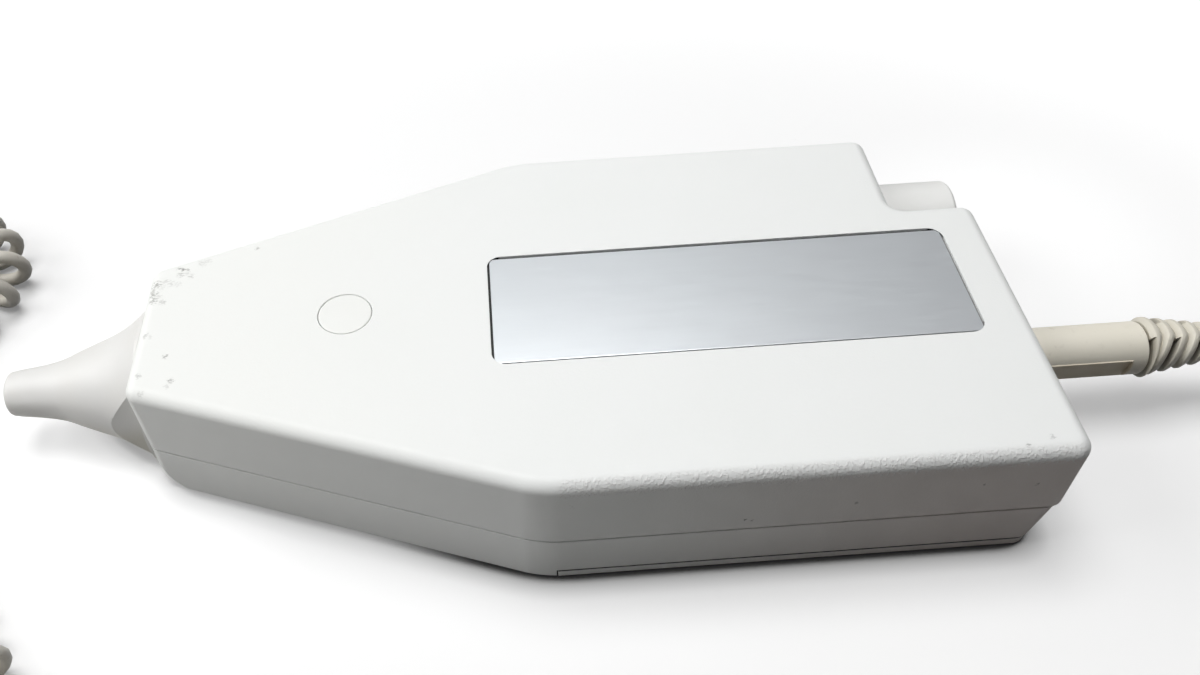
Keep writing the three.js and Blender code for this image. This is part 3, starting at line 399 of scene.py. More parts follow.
def case_plastic():
    """Off-white moulded plastic with a fine spark texture, marked here and there, with painted shade on
    its near side and in the label's groove.
    """
    material = new_material("case_plastic", (0.86, 0.871, 0.86), 0.55, IOR=1.5, Specular_IOR_Level=0.35)
    tint(material, spread(material, noise(material, 22, 3), 0.35, 0.7, 0, 0.5), (0.835, 0.85, 0.832))
    along = along_case(material)
    yellowed = spread(material, along, 15, 80, 0.8, 0, smooth=True)
    tint(material, yellowed, (0.855, 0.862, 0.835))
    # painted shade: the near side grows darker and browner towards the rear
    near_side = within(material, (-1, -41, -1), (156, -39, 24.5), 0.8)
    painted_side_shade = reckon(material, "MULTIPLY", near_side, spread(material, along, 70, 150, 0, 1, smooth=True))
    tint(material, painted_side_shade, (0.74, 0.685, 0.66))
    # painted shade in the groove round the label, less dark at its rear; and dark joints over the battery
    # door
    groove_low = (LABEL_X[0] + 0.05, LABEL_Y[0] + 0.05, 20)
    groove_high = (LABEL_X[1] - 0.05, LABEL_Y[1] - 0.05, 26.86)
    rear_low = (groove_high[0] - LABEL_RADIUS - 0.15, *groove_low[1:])
    rear_high = (groove_high[0], groove_high[1] - 1.45, groove_high[2])
    tint_box(material, groove_low, groove_high, 0.06, (0.02, 0.02, 0.02))
    tint_box(material, rear_low, rear_high, 0.06, (0.22, 0.22, 0.22))
    for side in ((-41, -39.2), (39.2, 41)):
        low, high = (DOOR_FRONT, side[0], 2.1), (156, side[1], 2.46)
        tint_box(material, low, high, 0.05, (0.11, 0.107, 0.10))
    tint(material, specks(material, CASE_MARKS), (0.12, 0.115, 0.10))
    relief(material, noise(material, 0.42, 2), 0.05, 0.55)
    relief(material, noise(material, 6, 2), 0.06, 0.35)
    near_edge = within(material, (72, -41, 24.6), (153, -38.9, 27.4), 0.9)
    orange_peel = spread(material, noise(material, 0.5, 2), 0.45, 0.65, 0, 1, smooth=True)
    rough_edge = reckon(material, "MULTIPLY", near_edge, orange_peel)
    tint(material, rough_edge, (0.81, 0.81, 0.80))
    relief(material, rough_edge, 0.08, 0.62)
    gloss(material, noise(material, 3, 3), 0.48, 0.62)


CASE_MARKS = [  # x, y, z, radius, darkness
    (1.6, 10.5, 26.8, 1.4, 0.55), (1.2, 9.2, 26.7, 1.1, 0.4), (1.5, 8.1, 26.8, 1.2, 0.55),
    (2.5, 7.4, 27, 1.0, 0.2), (1.7, 6.5, 26.9, 1.2, 0.5), (3.5, 5.9, 27, 0.9, 0.35),
    (3.2, 11.2, 27, 1.0, 0.22), (4.3, 10.7, 27, 1.0, 0.24), (5.6, 10.3, 27, 0.9, 0.15),
    (2.9, 9.6, 27, 1.0, 0.13), (5.2, 14.4, 26.8, 0.7, 0.7), (6.0, 14.2, 26.9, 0.7, 0.75),
    (6.9, 14.0, 26.9, 0.6, 0.4), (5.8, 12.8, 27, 0.9, 0.4), (6.9, 13.0, 27, 0.8, 0.22),
    (7.8, 12.1, 27, 0.8, 0.3), (9.4, 15.6, 26.8, 1.3, 0.18), (10.4, 15.9, 26.8, 1.0, 0.15),
    (1.9, -2.1, 26.9, 0.8, 0.32), (2.9, -2.5, 27, 0.6, 0.14), (6.3, -7.3, 27, 0.75, 0.5),
    (2.3, -11.4, 27, 0.75, 0.36), (8.1, -12.9, 27, 0.75, 0.5), (7.6, -14.1, 27, 0.7, 0.22),
    (3.2, -15.2, 26.8, 0.8, 0.26), (19.2, 18.6, 26.7, 0.7, 0.4), (144.4, -38.1, 26.8, 0.6, 0.5),
    (148.6, -36.9, 27, 0.65, 0.3), (138.9, -40, 19.5, 0.6, 0.55), (147.8, -40, 18.7, 0.55, 0.45),
    (101.4, -40, 14.2, 0.5, 0.8), (102.5, -40, 13.9, 0.45, 0.5), (119.1, -40, 16.9, 0.5, 0.45),
    (73.4, -40, 21.7, 0.6, 0.35),
]


def nose_plastic():
    material = new_material("nose_plastic", (0.745, 0.74, 0.72), 0.42, IOR=1.5)
    clouds(material, 9, 0.6, (0.72, 0.71, 0.68))
    # painted shade: the nose's lower part, towards the table, darker and yellower
    under = within(material, (-30, -12, 0), (0, 12, 7), 6)
    tint(material, reckon(material, "MULTIPLY", under, 0.8), (0.58, 0.56, 0.49))
    relief(material, noise(material, 0.5, 2), 0.02, 0.35)
    gloss(material, noise(material, 4, 3), 0.37, 0.48)


def button_plastic():
    material = new_material("button_plastic", (0.855, 0.862, 0.835), 0.42, IOR=1.5)
    clouds(material, 3, 0.5, (0.84, 0.847, 0.815))
    relief(material, noise(material, 0.5, 2), 0.02, 0.35)
    gloss(material, noise(material, 2, 3), 0.38, 0.5)


def knob_plastic():
    material = new_material("knob_plastic", (0.87, 0.87, 0.85), 0.42, IOR=1.5)
    clouds(material, 5, 0.5, (0.84, 0.845, 0.82))
    relief(material, noise(material, 0.4, 2, (0.3, 1, 1)), 0.02, 0.4)
    gloss(material, noise(material, 2, 3), 0.36, 0.5)


def label_metal():
    """Bare satin aluminium, finely brushed along its length."""
    material = new_material("label_metal", (0.66, 0.685, 0.70), 0.36, 1.0)
    brushed = noise(material, 0.12, 3, (0.02, 1, 1))
    fine_lines = noise(material, 0.5, 2, (0.03, 1, 1))
    tint(material, spread(material, fine_lines, 0.35, 0.7, 0, 0.3), (0.64, 0.66, 0.675))
    tint(material, spread(material, noise(material, 26, 2), 0.4, 0.75, 0, 0.5), (0.65, 0.665, 0.68))
    relief(material, brushed, 0.006, 0.35)
    gloss(material, brushed, 0.33, 0.4)


def plug_plastic():
    """Yellowed ivory plastic, with painted shade in its hollows and, with some dirt, on its flat."""
    material = new_material("plug_plastic", (0.87, 0.83, 0.72), 0.5, IOR=1.48)
    streaks = noise(material, 7, 4, (0.3, 1, 1))
    tint(material, spread(material, streaks, 0.4, 0.72, 0, 0.6), (0.80, 0.76, 0.64))
    tint(material, spread(material, noise(material, 1.5, 4), 0.62, 0.78, 0, 0.25), (0.45, 0.41, 0.33))
    # painted shade, with some dirt, on the flat, which faces down
    tint_box(material, (155.6, -15.5, 10.2), (176.4, -12.6, 15.2), 0.3, (0.79, 0.70, 0.54))  # the flat
    # painted shade in the boot's hollows, darkest deep in the slots
    hollow = new_node(material, "Attribute", attribute_name="hollow")["Fac"]
    tint(material, hollow, (0.11, 0.095, 0.075))
    relief(material, noise(material, 0.6, 3), 0.03, 0.4)
    gloss(material, noise(material, 3, 3), 0.42, 0.58)


def cord_jacket():
    material = new_material("cord_jacket", (0.68, 0.65, 0.585), 0.42, IOR=1.5)
    clouds(material, 11, 0.6, (0.60, 0.565, 0.49), detail=4)
    tint(material, spread(material, noise(material, 1.2, 4), 0.62, 0.74, 0, 0.3), (0.33, 0.30, 0.24))
    relief(material, noise(material, 0.5, 3), 0.03, 0.35)
    gloss(material, noise(material, 4, 3), 0.36, 0.5)


def plain_plastic(name, colour, roughness, grain=0.5, depth=0.02):
    """Moulded plastic of one colour with a fine grain and a little unevenness."""
    material = new_material(name, colour, roughness, IOR=1.5)
    lighter = tuple(min(1, c * 1.25 + 0.01) for c in colour)
    tint(material, spread(material, noise(material, 5, 3), 0.35, 0.75, 0, 0.5), lighter)
    relief(material, noise(material, grain, 2), depth, 0.4)
    gloss(material, noise(material, 2, 3), roughness - 0.06, roughness + 0.06)


def plain_metal(name, colour, roughness, stretch=(1, 1, 1)):
    """Metal with fine marks of its making."""
    material = new_material(name, colour, roughness, 1.0)
    darker = tuple(c * 0.78 for c in colour)
    tint(material, spread(material, noise(material, 1.5, 4), 0.4, 0.75, 0, 0.7), darker)
    relief(material, noise(material, 0.15, 2, stretch), 0.01, 0.4)
    gloss(material, noise(material, 0.8, 3, stretch), roughness - 0.06, roughness + 0.1)


def board_mask():
    """Green solder mask over tracks, which stand up a little and show lighter."""
    material = new_material("board", (0.035, 0.16, 0.06), 0.38, IOR=1.5)
    tracks = new_node(material, "TexBrick", {
        "Vector": pattern_place(material), "Scale": 1 / (5 * MM), "Mortar Size": 0.06,
    }, offset=0.37)["Fac"]
    tint(material, tracks, (0.07, 0.27, 0.11))
    relief(material, tracks, 0.05, 0.8)
    gloss(material, noise(material, 2, 3), 0.3, 0.45)


def battery_sleeve():
    """A plain black sleeve."""
    material = new_material("battery_sleeve", (0.02, 0.02, 0.022), 0.32, IOR=1.5)
    tint(material, spread(material, noise(material, 4, 3), 0.45, 0.8, 0, 0.15), (0.2, 0.2, 0.2))
    relief(material, noise(material, 5, 2), 0.05, 0.3)
    gloss(material, noise(material, 3, 3), 0.26, 0.4)


def foam_rubber():
    material = new_material("foam", (0.035, 0.035, 0.037), 0.95)
    place, scale = pattern_place(material), 1 / (0.7 * MM)
    pores = new_node(material, "TexVoronoi", {"Vector": place, "Scale": scale})["Distance"]
    tint(material, spread(material, pores, 0.1, 0.6, 0.9, 0), (0.008, 0.008, 0.008))
    relief(material, pores, 0.4, 0.9)


case_plastic()
nose_plastic()
button_plastic()
knob_plastic()
label_metal()
plug_plastic()
cord_jacket()
battery_sleeve()
foam_rubber()
board_mask()
plain_metal("plug_metal", (0.72, 0.70, 0.66), 0.2, (0.05, 1, 1))
plain_metal("steel", (0.55, 0.56, 0.58), 0.32)
plain_metal("aluminium", (0.72, 0.73, 0.75), 0.3, (0.1, 1, 1))
plain_metal("brass", (0.66, 0.48, 0.20), 0.28)
plain_plastic("black_plastic", (0.012, 0.012, 0.013), 0.5)
plain_plastic("red_plastic", (0.42, 0.02, 0.015), 0.4)
plain_plastic("trimmer_plastic", (0.03, 0.09, 0.36), 0.35)
plain_plastic("capacitor_sleeve", (0.012, 0.03, 0.14), 0.3, 3, 0.03)
plain_plastic("lens_epoxy", (0.60, 0.54, 0.36), 0.28)
plain_plastic("ceramic", (0.55, 0.46, 0.26), 0.5)
plain_plastic("red_wire", (0.38, 0.012, 0.01), 0.42)
plain_plastic("black_wire", (0.01, 0.01, 0.011), 0.42)
plain_plastic("grey_wire", (0.27, 0.27, 0.28), 0.45)
for part in frame["record"]["subparts"]:
    cad_piece = frame["nodes"][part["node"]]
    cad_piece.data.materials.clear()
    cad_piece.data.materials.append(finishes[part["material_slot"]])


# Modelling

def pick(piece):
    """Makes the piece the only selected object."""
    bpy.ops.object.select_all(action="DESELECT")
    piece.select_set(True)
    bpy.context.view_layer.objects.active = piece


@contextmanager
def editing(piece, everything=False):
    """Edit mode on the piece, with all of it selected or nothing."""
    pick(piece)
    bpy.ops.object.mode_set(mode="EDIT")
    bpy.ops.mesh.select_mode(type="VERT")
    bpy.ops.mesh.select_all(action="SELECT" if everything else "DESELECT")
    yield
    bpy.ops.object.mode_set(mode="OBJECT")


def settle(piece):
    """Puts the piece's place and turn into its mesh."""
    pick(piece)
    bpy.ops.object.transform_apply(location=True, rotation=True, scale=True)
    return piece


def add(primitive, name, **settings):
    """A new primitive, the only selected object, with its place in its mesh."""
    bpy.ops.object.select_all(action="DESELECT")
    primitive(**settings)
    piece = bpy.context.object
    piece.name = name
    return settle(piece)


def block(name, x, y, z):
    """A block between the two ends given for each axis."""
    low, high = at(x[0], y[0], z[0]), at(x[1], y[1], z[1])
    return add(bpy.ops.mesh.primitive_cube_add, name, size=1, location=(low + high) / 2, scale=high - low)


def rod(name, axis, radius, ends, middle, sides=48):
    """A round bar from ends[0] to ends[1] along X or Z, through the other two of middle."""
    start, stop = list(middle), list(middle)
    i = "xyz".index(axis)
    start[i], stop[i] = ends
    start, stop = at(*start), at(*stop)
    return add(
        bpy.ops.mesh.primitive_cylinder_add, name, vertices=sides, radius=radius * MM,
        depth=(stop - start).length, location=(start + stop) / 2,
        rotation=(0, math.pi / 2 if axis == "x" else 0, 0),
    )


def turned(name, axis, profile, middle, steps=72):
    """A profile of (radius, distance along the axis) spun round the X or Z axis through middle."""
    along = Vector((1, 0, 0)) if axis == "x" else Vector((0, 0, 1))
    out = Vector((0, 0, 1)) if axis == "x" else Vector((1, 0, 0))
    centre = at(*middle)
    points = [centre + (out * radius + along * distance) * MM for radius, distance in profile]
    piece = add(bpy.ops.mesh.primitive_plane_add, name, size=0.001, location=points[0])
    with editing(piece, everything=True):
        bpy.ops.mesh.merge(type="CENTER")
        for here, there in zip(points, points[1:]):
            bpy.ops.mesh.extrude_region_move(TRANSFORM_OT_translate={"value": there - here})
        bpy.ops.mesh.select_all(action="SELECT")
        bpy.ops.mesh.spin(steps=steps, angle=2 * math.pi, center=centre, axis=along)
        bpy.ops.mesh.select_all(action="SELECT")
        bpy.ops.mesh.remove_doubles(threshold=2e-6)
        bpy.ops.mesh.normals_make_consistent(inside=False)
    return piece


def modify(piece, kind, **settings):
    """Adds a modifier and applies it."""
    modifier = piece.modifiers.new(kind.lower(), kind)
    for setting, value in settings.items():
        setattr(modifier, setting, value)
    pick(piece)
    bpy.ops.object.modifier_apply(modifier=modifier.name)


def cut(piece, *tools, operation="DIFFERENCE"):
    """Takes the tools out of the piece, and throws them away."""
    for tool in tools:
        modify(piece, "BOOLEAN", operation=operation, solver="MANIFOLD", object=tool)
        bpy.data.objects.remove(tool)
    return piece


def join(piece, *tools):
    return cut(piece, *tools, operation="UNION")


def bevel_edges(piece, width, steps, wanted):
    """Rounds the edges whose two ends pass the test."""
    with editing(piece):
        bpy.ops.mesh.select_mode(type="EDGE")
        mesh = bmesh.from_edit_mesh(piece.data)
        for edge in mesh.edges:
            edge.select_set(wanted(*(case_point(v.co) for v in edge.verts)))
        mesh.select_flush_mode()
        bmesh.update_edit_mesh(piece.data)
        bpy.ops.mesh.bevel(offset=width * MM, segments=steps, affect="EDGES")


def round_upright(piece, x, y, radius, turn, reach, steps):
    """Rounds the upright edge near x, y, where the outline turns by so many degrees."""
    def upright(a, b):
        return abs(a.z - b.z) > 0.5 and all(math.hypot(p.x - x, p.y - y) < reach for p in (a, b))
    bevel_edges(piece, radius * math.tan(math.radians(turn) / 2), steps, upright)


def level(height, slack=0.02):
    """A test for edges that lie at one height."""
    return lambda a, b: abs(a.z - height) < slack and abs(b.z - height) < slack


def finish(piece, slot, body, *nodes, sharp=32):
    """Shades the piece, gives it its finish, and lets it ride in place of its CAD nodes."""
    pick(piece)
    bpy.ops.object.shade_smooth_by_angle(angle=math.radians(sharp))
    modify(piece, "WEIGHTED_NORMAL", keep_sharp=True, weight=60)
    piece.data.materials.clear()
    piece.data.materials.append(finishes[slot])
    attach(piece, body)
    if nodes:
        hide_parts(*nodes)
    return piece


# Case

def case_block(name, rear, low, high, inset=0.0, notched=True, lean=0.0):
    """The case's tapered outline with its corners rounded, pulled in by inset.

    The foot of the rear face lies further in by lean.
    """
    half = HALF_WIDTH - inset
    piece = block(name, (inset, rear - inset), (-half, half), (low, high))
    with editing(piece):
        for side in (-1, 1):
            outwards = Vector((-math.sin(TAPER), side * math.cos(TAPER), 0))
            bpy.ops.mesh.select_all(action="SELECT")
            bpy.ops.mesh.bisect(
                plane_co=at(KNEE_X, side * HALF_WIDTH, 0) - outwards * inset * MM,
                plane_no=outwards, use_fill=True, clear_outer=True,
            )
        if lean:
            bpy.ops.mesh.select_all(action="SELECT")
            bpy.ops.mesh.bisect(
                plane_co=at(rear - inset, 0, high), plane_no=Vector((high - low, 0, -lean)).normalized(),
                use_fill=True, clear_outer=True,
            )
    rear_corner = CORNER + 0.1 * lean
    corners = [
        (0, -FRONT_HALF, CORNER, 90 - TAPER_DEGREES), (0, FRONT_HALF, CORNER, 90 - TAPER_DEGREES),
        (KNEE_X, -HALF_WIDTH, KNEE_ROUND, TAPER_DEGREES), (KNEE_X, HALF_WIDTH, KNEE_ROUND, TAPER_DEGREES),
        (rear, -HALF_WIDTH, rear_corner, 90),
    ]
    if notched:
        cut(piece, block("notch", (NOTCH_X - inset, FAR), (NOTCH_Y - inset, FAR), (low - 9, high + 9)))
        corners += [
            (rear, NOTCH_Y, NOTCH_CORNER, 90), (NOTCH_X, HALF_WIDTH, NOTCH_CORNER, 90),
            (NOTCH_X, NOTCH_Y, NOTCH_CORNER + 2 * inset, 90),
        ]
    else:
        corners += [(rear, HALF_WIDTH, rear_corner, 90)]
    for x, y, radius, turn in corners:
        if radius - inset > 0.3:
            round_upright(piece, x, y, radius - inset, turn, 0.5 + 1.6 * inset + lean, 10)
    return piece


def front_round(inset=0.0):
    """What the rounded bottom front edge takes away from a body."""
    length, height = FRONT_ROUND
    tool = block("front_corner", (-50, length), (-90, 90), (-50, height))
    bar = add(
        bpy.ops.mesh.primitive_cylinder_add, "front_bar", vertices=128, radius=1, depth=200 * MM,
        location=at(length, 0, height), rotation=(math.pi / 2, 0, 0),
        scale=((length - inset) * MM, (height - inset) * MM, 1),
    )
    return cut(tool, bar)


def rounded_tool(name, x, y, z, radius):
    """A block with rounded upright edges."""
    tool = block(name, x, y, z)
    for corner_x in x:
        for corner_y in y:
            round_upright(tool, corner_x, corner_y, radius, 90, 0.5, 10)
    return tool


def wall_holes():
    """Holes that the seam divides between the two shells."""
    return [
        rod("nose_hole", "x", 6.8, (-WALL, 2 * WALL), (0, 0, NOSE_Z), 64),
        rod("bushing_hole", "x", 3.8, (NOTCH_X - 2 * WALL, NOTCH_X + WALL), (0, KNOB_Y, KNOB_Z)),
        rod("plug_hole", "x", 5.1, (LENGTH - WALL, LENGTH + WALL), (0, JACK_Y, JACK_Z), 64),
        rod("collar_hole", "x", 3.9, (147.2, LENGTH), (0, JACK_Y, JACK_Z)),
    ]


def make_upper_case():
    low = SEAM[1]
    shell = case_block("upper_case", LENGTH, low, HEIGHT)
    bevel_edges(shell, TOP_ROUND, 8, level(HEIGHT))
    bevel_edges(shell, 0.2, 2, level(low))
    cut(shell, case_block("hollow", LENGTH, -5, ROOF, WALL), front_round())
    for x, y, _ in SCREWS:
        join(shell, rod("boss", "z", BOSS_RADIUS, (low, ROOF + 0.3), (x, y, 0)))
    join(shell, turned("button_guide", "z", [
        (6.05, 21.2), (7.65, 21.2), (7.65, ROOF + 0.3), (6.05, ROOF + 0.3), (6.05, 21.2),
    ], (BUTTON_X, 0, 0)))
    recess = rounded_tool("label_recess", LABEL_X, LABEL_Y, (RECESS, HEIGHT + 0.05), LABEL_RADIUS)
    bores = [rod("bore", "z", SCREW_BORE, (-1, 19.7), (x, y, 0)) for x, y, _ in SCREWS]
    button_hole = turned("button_hole", "z", [
        (0, 20), (4.83, 20), (4.83, HEIGHT - 0.12), (4.98, HEIGHT + 0.05), (0, HEIGHT + 0.05),
    ], (BUTTON_X, 0, 0), 96)
    cut(shell, recess, *bores, button_hole, *wall_holes())
    return finish(shell, "case_plastic", "case", "top_shell")


def make_lower_case():
    top = SEAM[0]
    shell = case_block("lower_case", SEAM_REAR, 0, top, notched=False, lean=SEAM_REAR - BOTTOM_REAR)
    bevel_edges(shell, 1.0, 5, level(0))
    bevel_edges(shell, 0.2, 2, level(top))
    notch = rounded_tool("notch_floor", (NOTCH_X, FAR), (NOTCH_Y, FAR), (FLOOR_TOP, 60), NOTCH_CORNER)
    hollow = case_block("hollow", BOTTOM_REAR, WALL, 60, WALL)
    under = block("rear_floor", (DOOR_FRONT - WALL, FAR), (-FAR, FAR), (-FAR, FLOOR_TOP))
    cut(hollow, under, front_round(WALL))
    cut(shell, front_round(), notch, hollow)
    half = BAY_HALF
    cradle_x = (BAY_X[0] - CRADLE_WALL, BAY_X[1] + CRADLE_WALL)
    cradle_y = (-half - CRADLE_WALL, half + CRADLE_WALL)
    join(shell, block("cradle", cradle_x, cradle_y, (UNDER_SHELL, 11.1)))
    for x, y, low in SCREWS:
        join(shell, rod("post", "z", BOSS_RADIUS, (low + 1.2, top), (x, y, 0)))
    for x, y in BOARD_POSTS:
        join(shell, rod("board_post", "z", 2.4, (1.2, 7.7), (x, y, 0), 24))
    tools = [
        block("door_space", (DOOR_FRONT - 0.25, FAR), (-FAR, FAR), (-FAR, UNDER_SHELL)),
        block("bay", BAY_X, (-half, half), (-WALL, 60)),
        block("wire_pass", (DOOR_FRONT - 0.2, 75.6), (-half / 2, half / 2), (9.6, 60)),
    ]
    for side in (-1, 1):
        y = side * RUNNER_Y
        tools.append(block("runner_slot", (73.7, FAR), (y - 1.45, y + 1.45), (-WALL, 3.35)))
    for x, y, low in SCREWS:
        tools.append(rod("shank_hole", "z", SCREW_BORE, (-WALL, 60), (x, y, 0), 32))
        tools.append(rod("head_hole", "z", 2.9, (-WALL, low + SCREW_SEAT), (x, y, 0)))
    cut(shell, *tools, *wall_holes())
    return finish(shell, "case_plastic", "case", "bottom_shell")


def make_battery_cover():
    low, high = node_box("battery_door")
    thickness, runner, groove_pitch = 2.2, 2.4, 2.4
    door = block("battery_cover", (low.x, high.x), (low.y, high.y), (0, thickness))
    for y in (low.y, high.y):
        round_upright(door, high.x, y, CORNER, 90, 0.5, 10)
    bevel_edges(door, 0.9, 4, level(0))
    for side in (-1, 1):
        sides = (side * RUNNER_Y - runner / 2, side * RUNNER_Y + runner / 2)
        rail = block("runner", (low.x + 3, high.x - WALL), sides, (thickness / 2, high.z))
        bevel_edges(rail, 0.25, 2, level(high.z))
        join(door, rail)
    for i in range(4, 10):
        x = high.x - i * groove_pitch
        groove = block("groove", (x, x + groove_pitch / 2), (-13, 13), (-WALL, 0.6))
        bevel_edges(groove, 0.35, 3, level(0.6))
        cut(door, groove)
    return finish(door, "case_plastic", "battery_cover", "battery_door")


def make_label():
    low, high = node_box("label_plate")
    gap = 0.12  # more room round the plate shows as the dark line round it
    sides = ((low.x + gap, high.x - 0.03), (low.y + gap, high.y - gap), (low.z, high.z))
    plate = rounded_tool("label", *sides, LABEL_RADIUS - 0.2)
    bevel_edges(plate, 0.12, 2, level(high.z))
    return finish(plate, "label_metal", "case", "label_plate")


def make_case_screws():
    for i, (x, y, low) in enumerate(SCREWS):
        seat = low + SCREW_SEAT
        head = seat - 1.8
        screw = turned(f"cross_screw_{i + 1}", "z", [
            (0, head), (1.5, head + 0.02), (2.2, head + 0.2), (2.55, head + 0.7), (2.6, head + 1.1),
            (2.6, seat), (1.25, seat), (1.25, 18.15), (0, 19.4),
        ], (x, y, 0), 40)
        cut(
            screw,
            block("slot", (x - 1.5, x + 1.5), (y - 0.35, y + 0.35), (low - WALL, head + 0.9)),
            block("slot", (x - 0.35, x + 0.35), (y - 1.5, y + 1.5), (low - WALL, head + 0.9)),
        )
        finish(screw, "steel", "case", f"case_screw_{i + 1}")


# Nose, button and knob

NOSE_STRETCH = 0.96  # of the distances below
NOSE_FLARE = [  # distance from the case, radius
    (27.9, 4.2), (27, 4.35), (21.4, 5.1), (18, 5.9), (14.7, 7.2), (11.5, 8.4), (8, 9.7), (5, 11.2),
    (2.6, 12.8), (0.3, 14.6),
]


def case_front():
    """The case's front as a tool, with its rounded edges, for what has to fit against it."""
    front = case_block("case_front", LENGTH, -5, HEIGHT, inset=-0.04)
    bevel_edges(front, TOP_ROUND, 8, level(HEIGHT))
    return cut(
        front, front_round(), rod("neck", "x", 6.9, (-WALL, 4 * WALL), (0, 0, NOSE_Z), 64),
        block("rear", (3.9, FAR), (-FAR, FAR), (-FAR, FAR)),
    )


def make_nose():
    flare = smooth_through([(radius, -NOSE_STRETCH * ahead, 0) for ahead, radius in NOSE_FLARE], 6)
    nose = turned("probe_nose", "x", [
        (0, NOSE_TIP), (3.3, NOSE_TIP), (3.66, NOSE_TIP + 0.07), (3.95, NOSE_TIP + 0.28),
        (4.13, NOSE_TIP + 0.6),
        *[(p.x, p.y) for p in flare],
        (14.6, 3.4), (6.5, 3.4), (6.5, 4.6), (7.5, 4.6), (7.5, 6.2), (0, 6.2),
    ], (0, 0, NOSE_Z), 144)
    low, high = node_box("nose_cone")
    tools = [
        block("flat", (-FAR, 0), (high.y, FAR), (-FAR, FAR)),
        block("flat", (-FAR, 0), (-FAR, low.y), (-FAR, FAR)),
        block("underside", (-FAR, FAR), (-FAR, FAR), (-FAR, low.z)),
        rod("bore", "x", 3.35, (-FAR, -12), (0, 0, NOSE_Z)),
        turned("cavity", "x", [(0, -17), (5, -12), (5, 60), (0, 60)], (0, 0, NOSE_Z), 48),
        case_front(),
    ]
    cut(nose, *tools)
    return finish(nose, "nose_plastic", "case", "nose_cone")


def make_probe_window():
    """The clear face of the transducer, a little domed between the nose's lips."""
    low, high = node_box("transducer_lens")
    tip = low.x + 1.1  # it ends with the nose's lips
    window = turned("probe_window", "x", [
        (0, tip), (1.6, tip + 0.03), (2.5, tip + 0.1), (2.95, tip + 0.25), (3.05, tip + 0.4),
        (3.05, high.x), (0, high.x),
    ], (0, 0, NOSE_Z), 64)
    return finish(window, "lens_epoxy", "case", "transducer_lens")


def make_button():
    low, high = node_box("button_cap")
    foot, top = low.z, high.z
    flange = (22.9, 24.3)
    cap = turned("push_button", "z", [
        (0, foot), (1.6, foot), (1.6, flange[0]), (5.8, flange[0]), (5.8, flange[1]), (4.75, flange[1]),
        (4.75, top - 0.24), (4.7, top - 0.1), (4.6, top - 0.03), (4.44, top), (0, top),
    ], (BUTTON_X, 0, 0), 96)
    return finish(cap, "button_plastic", "power_button", "button_cap")


def make_button_spring():
    """The coil spring under the button, at its rest length; nothing here shortens it."""
    low, high = node_box("button_spring")
    wire, turns, travel = 0.3, 6, 1
    height = high.z - low.z
    steps = 24 * turns
    spring = add(
        bpy.ops.mesh.primitive_circle_add, "button_coil", vertices=12, radius=wire * MM,
        rotation=(math.pi / 2, 0, 0),
    )
    with editing(spring, everything=True):
        bpy.ops.transform.translate(value=(((high.x - low.x) / 2 - wire) * MM, 0, 0))
    modify(
        spring, "SCREW", angle=turns * 2 * math.pi, screw_offset=(height - 2 * wire) * MM,
        steps=steps, render_steps=steps,
    )
    with editing(spring, everything=True):
        bpy.ops.mesh.fill_holes(sides=0)
        bpy.ops.mesh.select_all(action="SELECT")
        bpy.ops.mesh.normals_make_consistent(inside=False)
    spring.location = at(BUTTON_X, 0, low.z + wire)
    finish(settle(spring), "steel", "case", "button_spring", sharp=50)
    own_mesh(spring)


def make_knob():
    """The volume knob, its rim finely fluted for the finger."""
    rim, end = KNOB_RADIUS, KNOB_LENGTH
    flutes, flute_depth = 90, 0.16
    knob = turned("volume_dial", "x", [
        (2.15, 4.5), (6.5, 4.5), (6.5, 0.9), (7.8, 0.9), (rim, 1.1), (rim, 1.6), (rim, 1.8),
        (rim, end - 1.2), (rim, end - 0.95), (7.93, end - 0.55), (7.72, end - 0.25),
        (7.45, end - 0.07), (7.1, end), (0, end), (0, end - 1.8), (2.15, end - 1.8), (2.15, 4.5),
    ], (NOTCH_X, KNOB_Y, KNOB_Z), 2 * flutes)
    with editing(knob):
        mesh = bmesh.from_edit_mesh(knob.data)
        for vert in mesh.verts:
            place = case_point(vert.co) - Vector((NOTCH_X, KNOB_Y, KNOB_Z))
            column = round(math.atan2(place.z, place.y) / math.pi * flutes)
            on_rim = 1.7 < place.x < end - 1.1 and math.hypot(place.y, place.z) > rim - 0.1
            if on_rim and column % 2:
                vert.co += Vector((0, -place.y, -place.z)).normalized() * flute_depth * MM
        bmesh.update_edit_mesh(knob.data)
    return finish(knob, "knob_plastic", "volume_control", "volume_knob", sharp=50)


# Plugs

def turn_round_plug(piece, degrees):
    """Turns a piece about the near plug's axis and puts the turn into its mesh."""
    axis = at(PLUG_FACE, JACK_Y, JACK_Z)
    turn = Matrix.Rotation(math.radians(degrees), 4, "X")
    piece.matrix_world = Matrix.Translation(axis) @ turn @ Matrix.Translation(-axis)
    return settle(piece)


def make_grip():
    """The round handle, with its bare flat on the near lower side and a thin ridge over it."""
    grip = turned("plug_grip", "x", [
        (0, 0), (4.35, 0), (4.7, 0.15), (GRIP_RADIUS, 0.5), (GRIP_RADIUS, GRIP_LENGTH - 0.5),
        (4.7, GRIP_LENGTH - 0.15), (4.35, GRIP_LENGTH), (0, GRIP_LENGTH),
    ], (PLUG_FACE, JACK_Y, JACK_Z), 96)
    ends = (PLUG_FACE + 2.4, PLUG_FACE + GRIP_LENGTH - 3)
    flat = block("flat", ends, (JACK_Y - 8, JACK_Y + 8), (JACK_Z + GRIP_FLAT, JACK_Z + 8))
    cut(grip, turn_round_plug(flat, FLAT_TURN))
    ridge = rod("ridge", "x", 0.16, ends, (0, JACK_Y + 2.5, JACK_Z + GRIP_FLAT), 12)
    return join(grip, turn_round_plug(ridge, FLAT_TURN))


def boot_radius(distance):
    """The boot's radius over its ribs, so far behind its start."""
    return BOOT_RADIUS - 2.8 * distance / (BOOT_LENGTH - BOOT_PITCH)


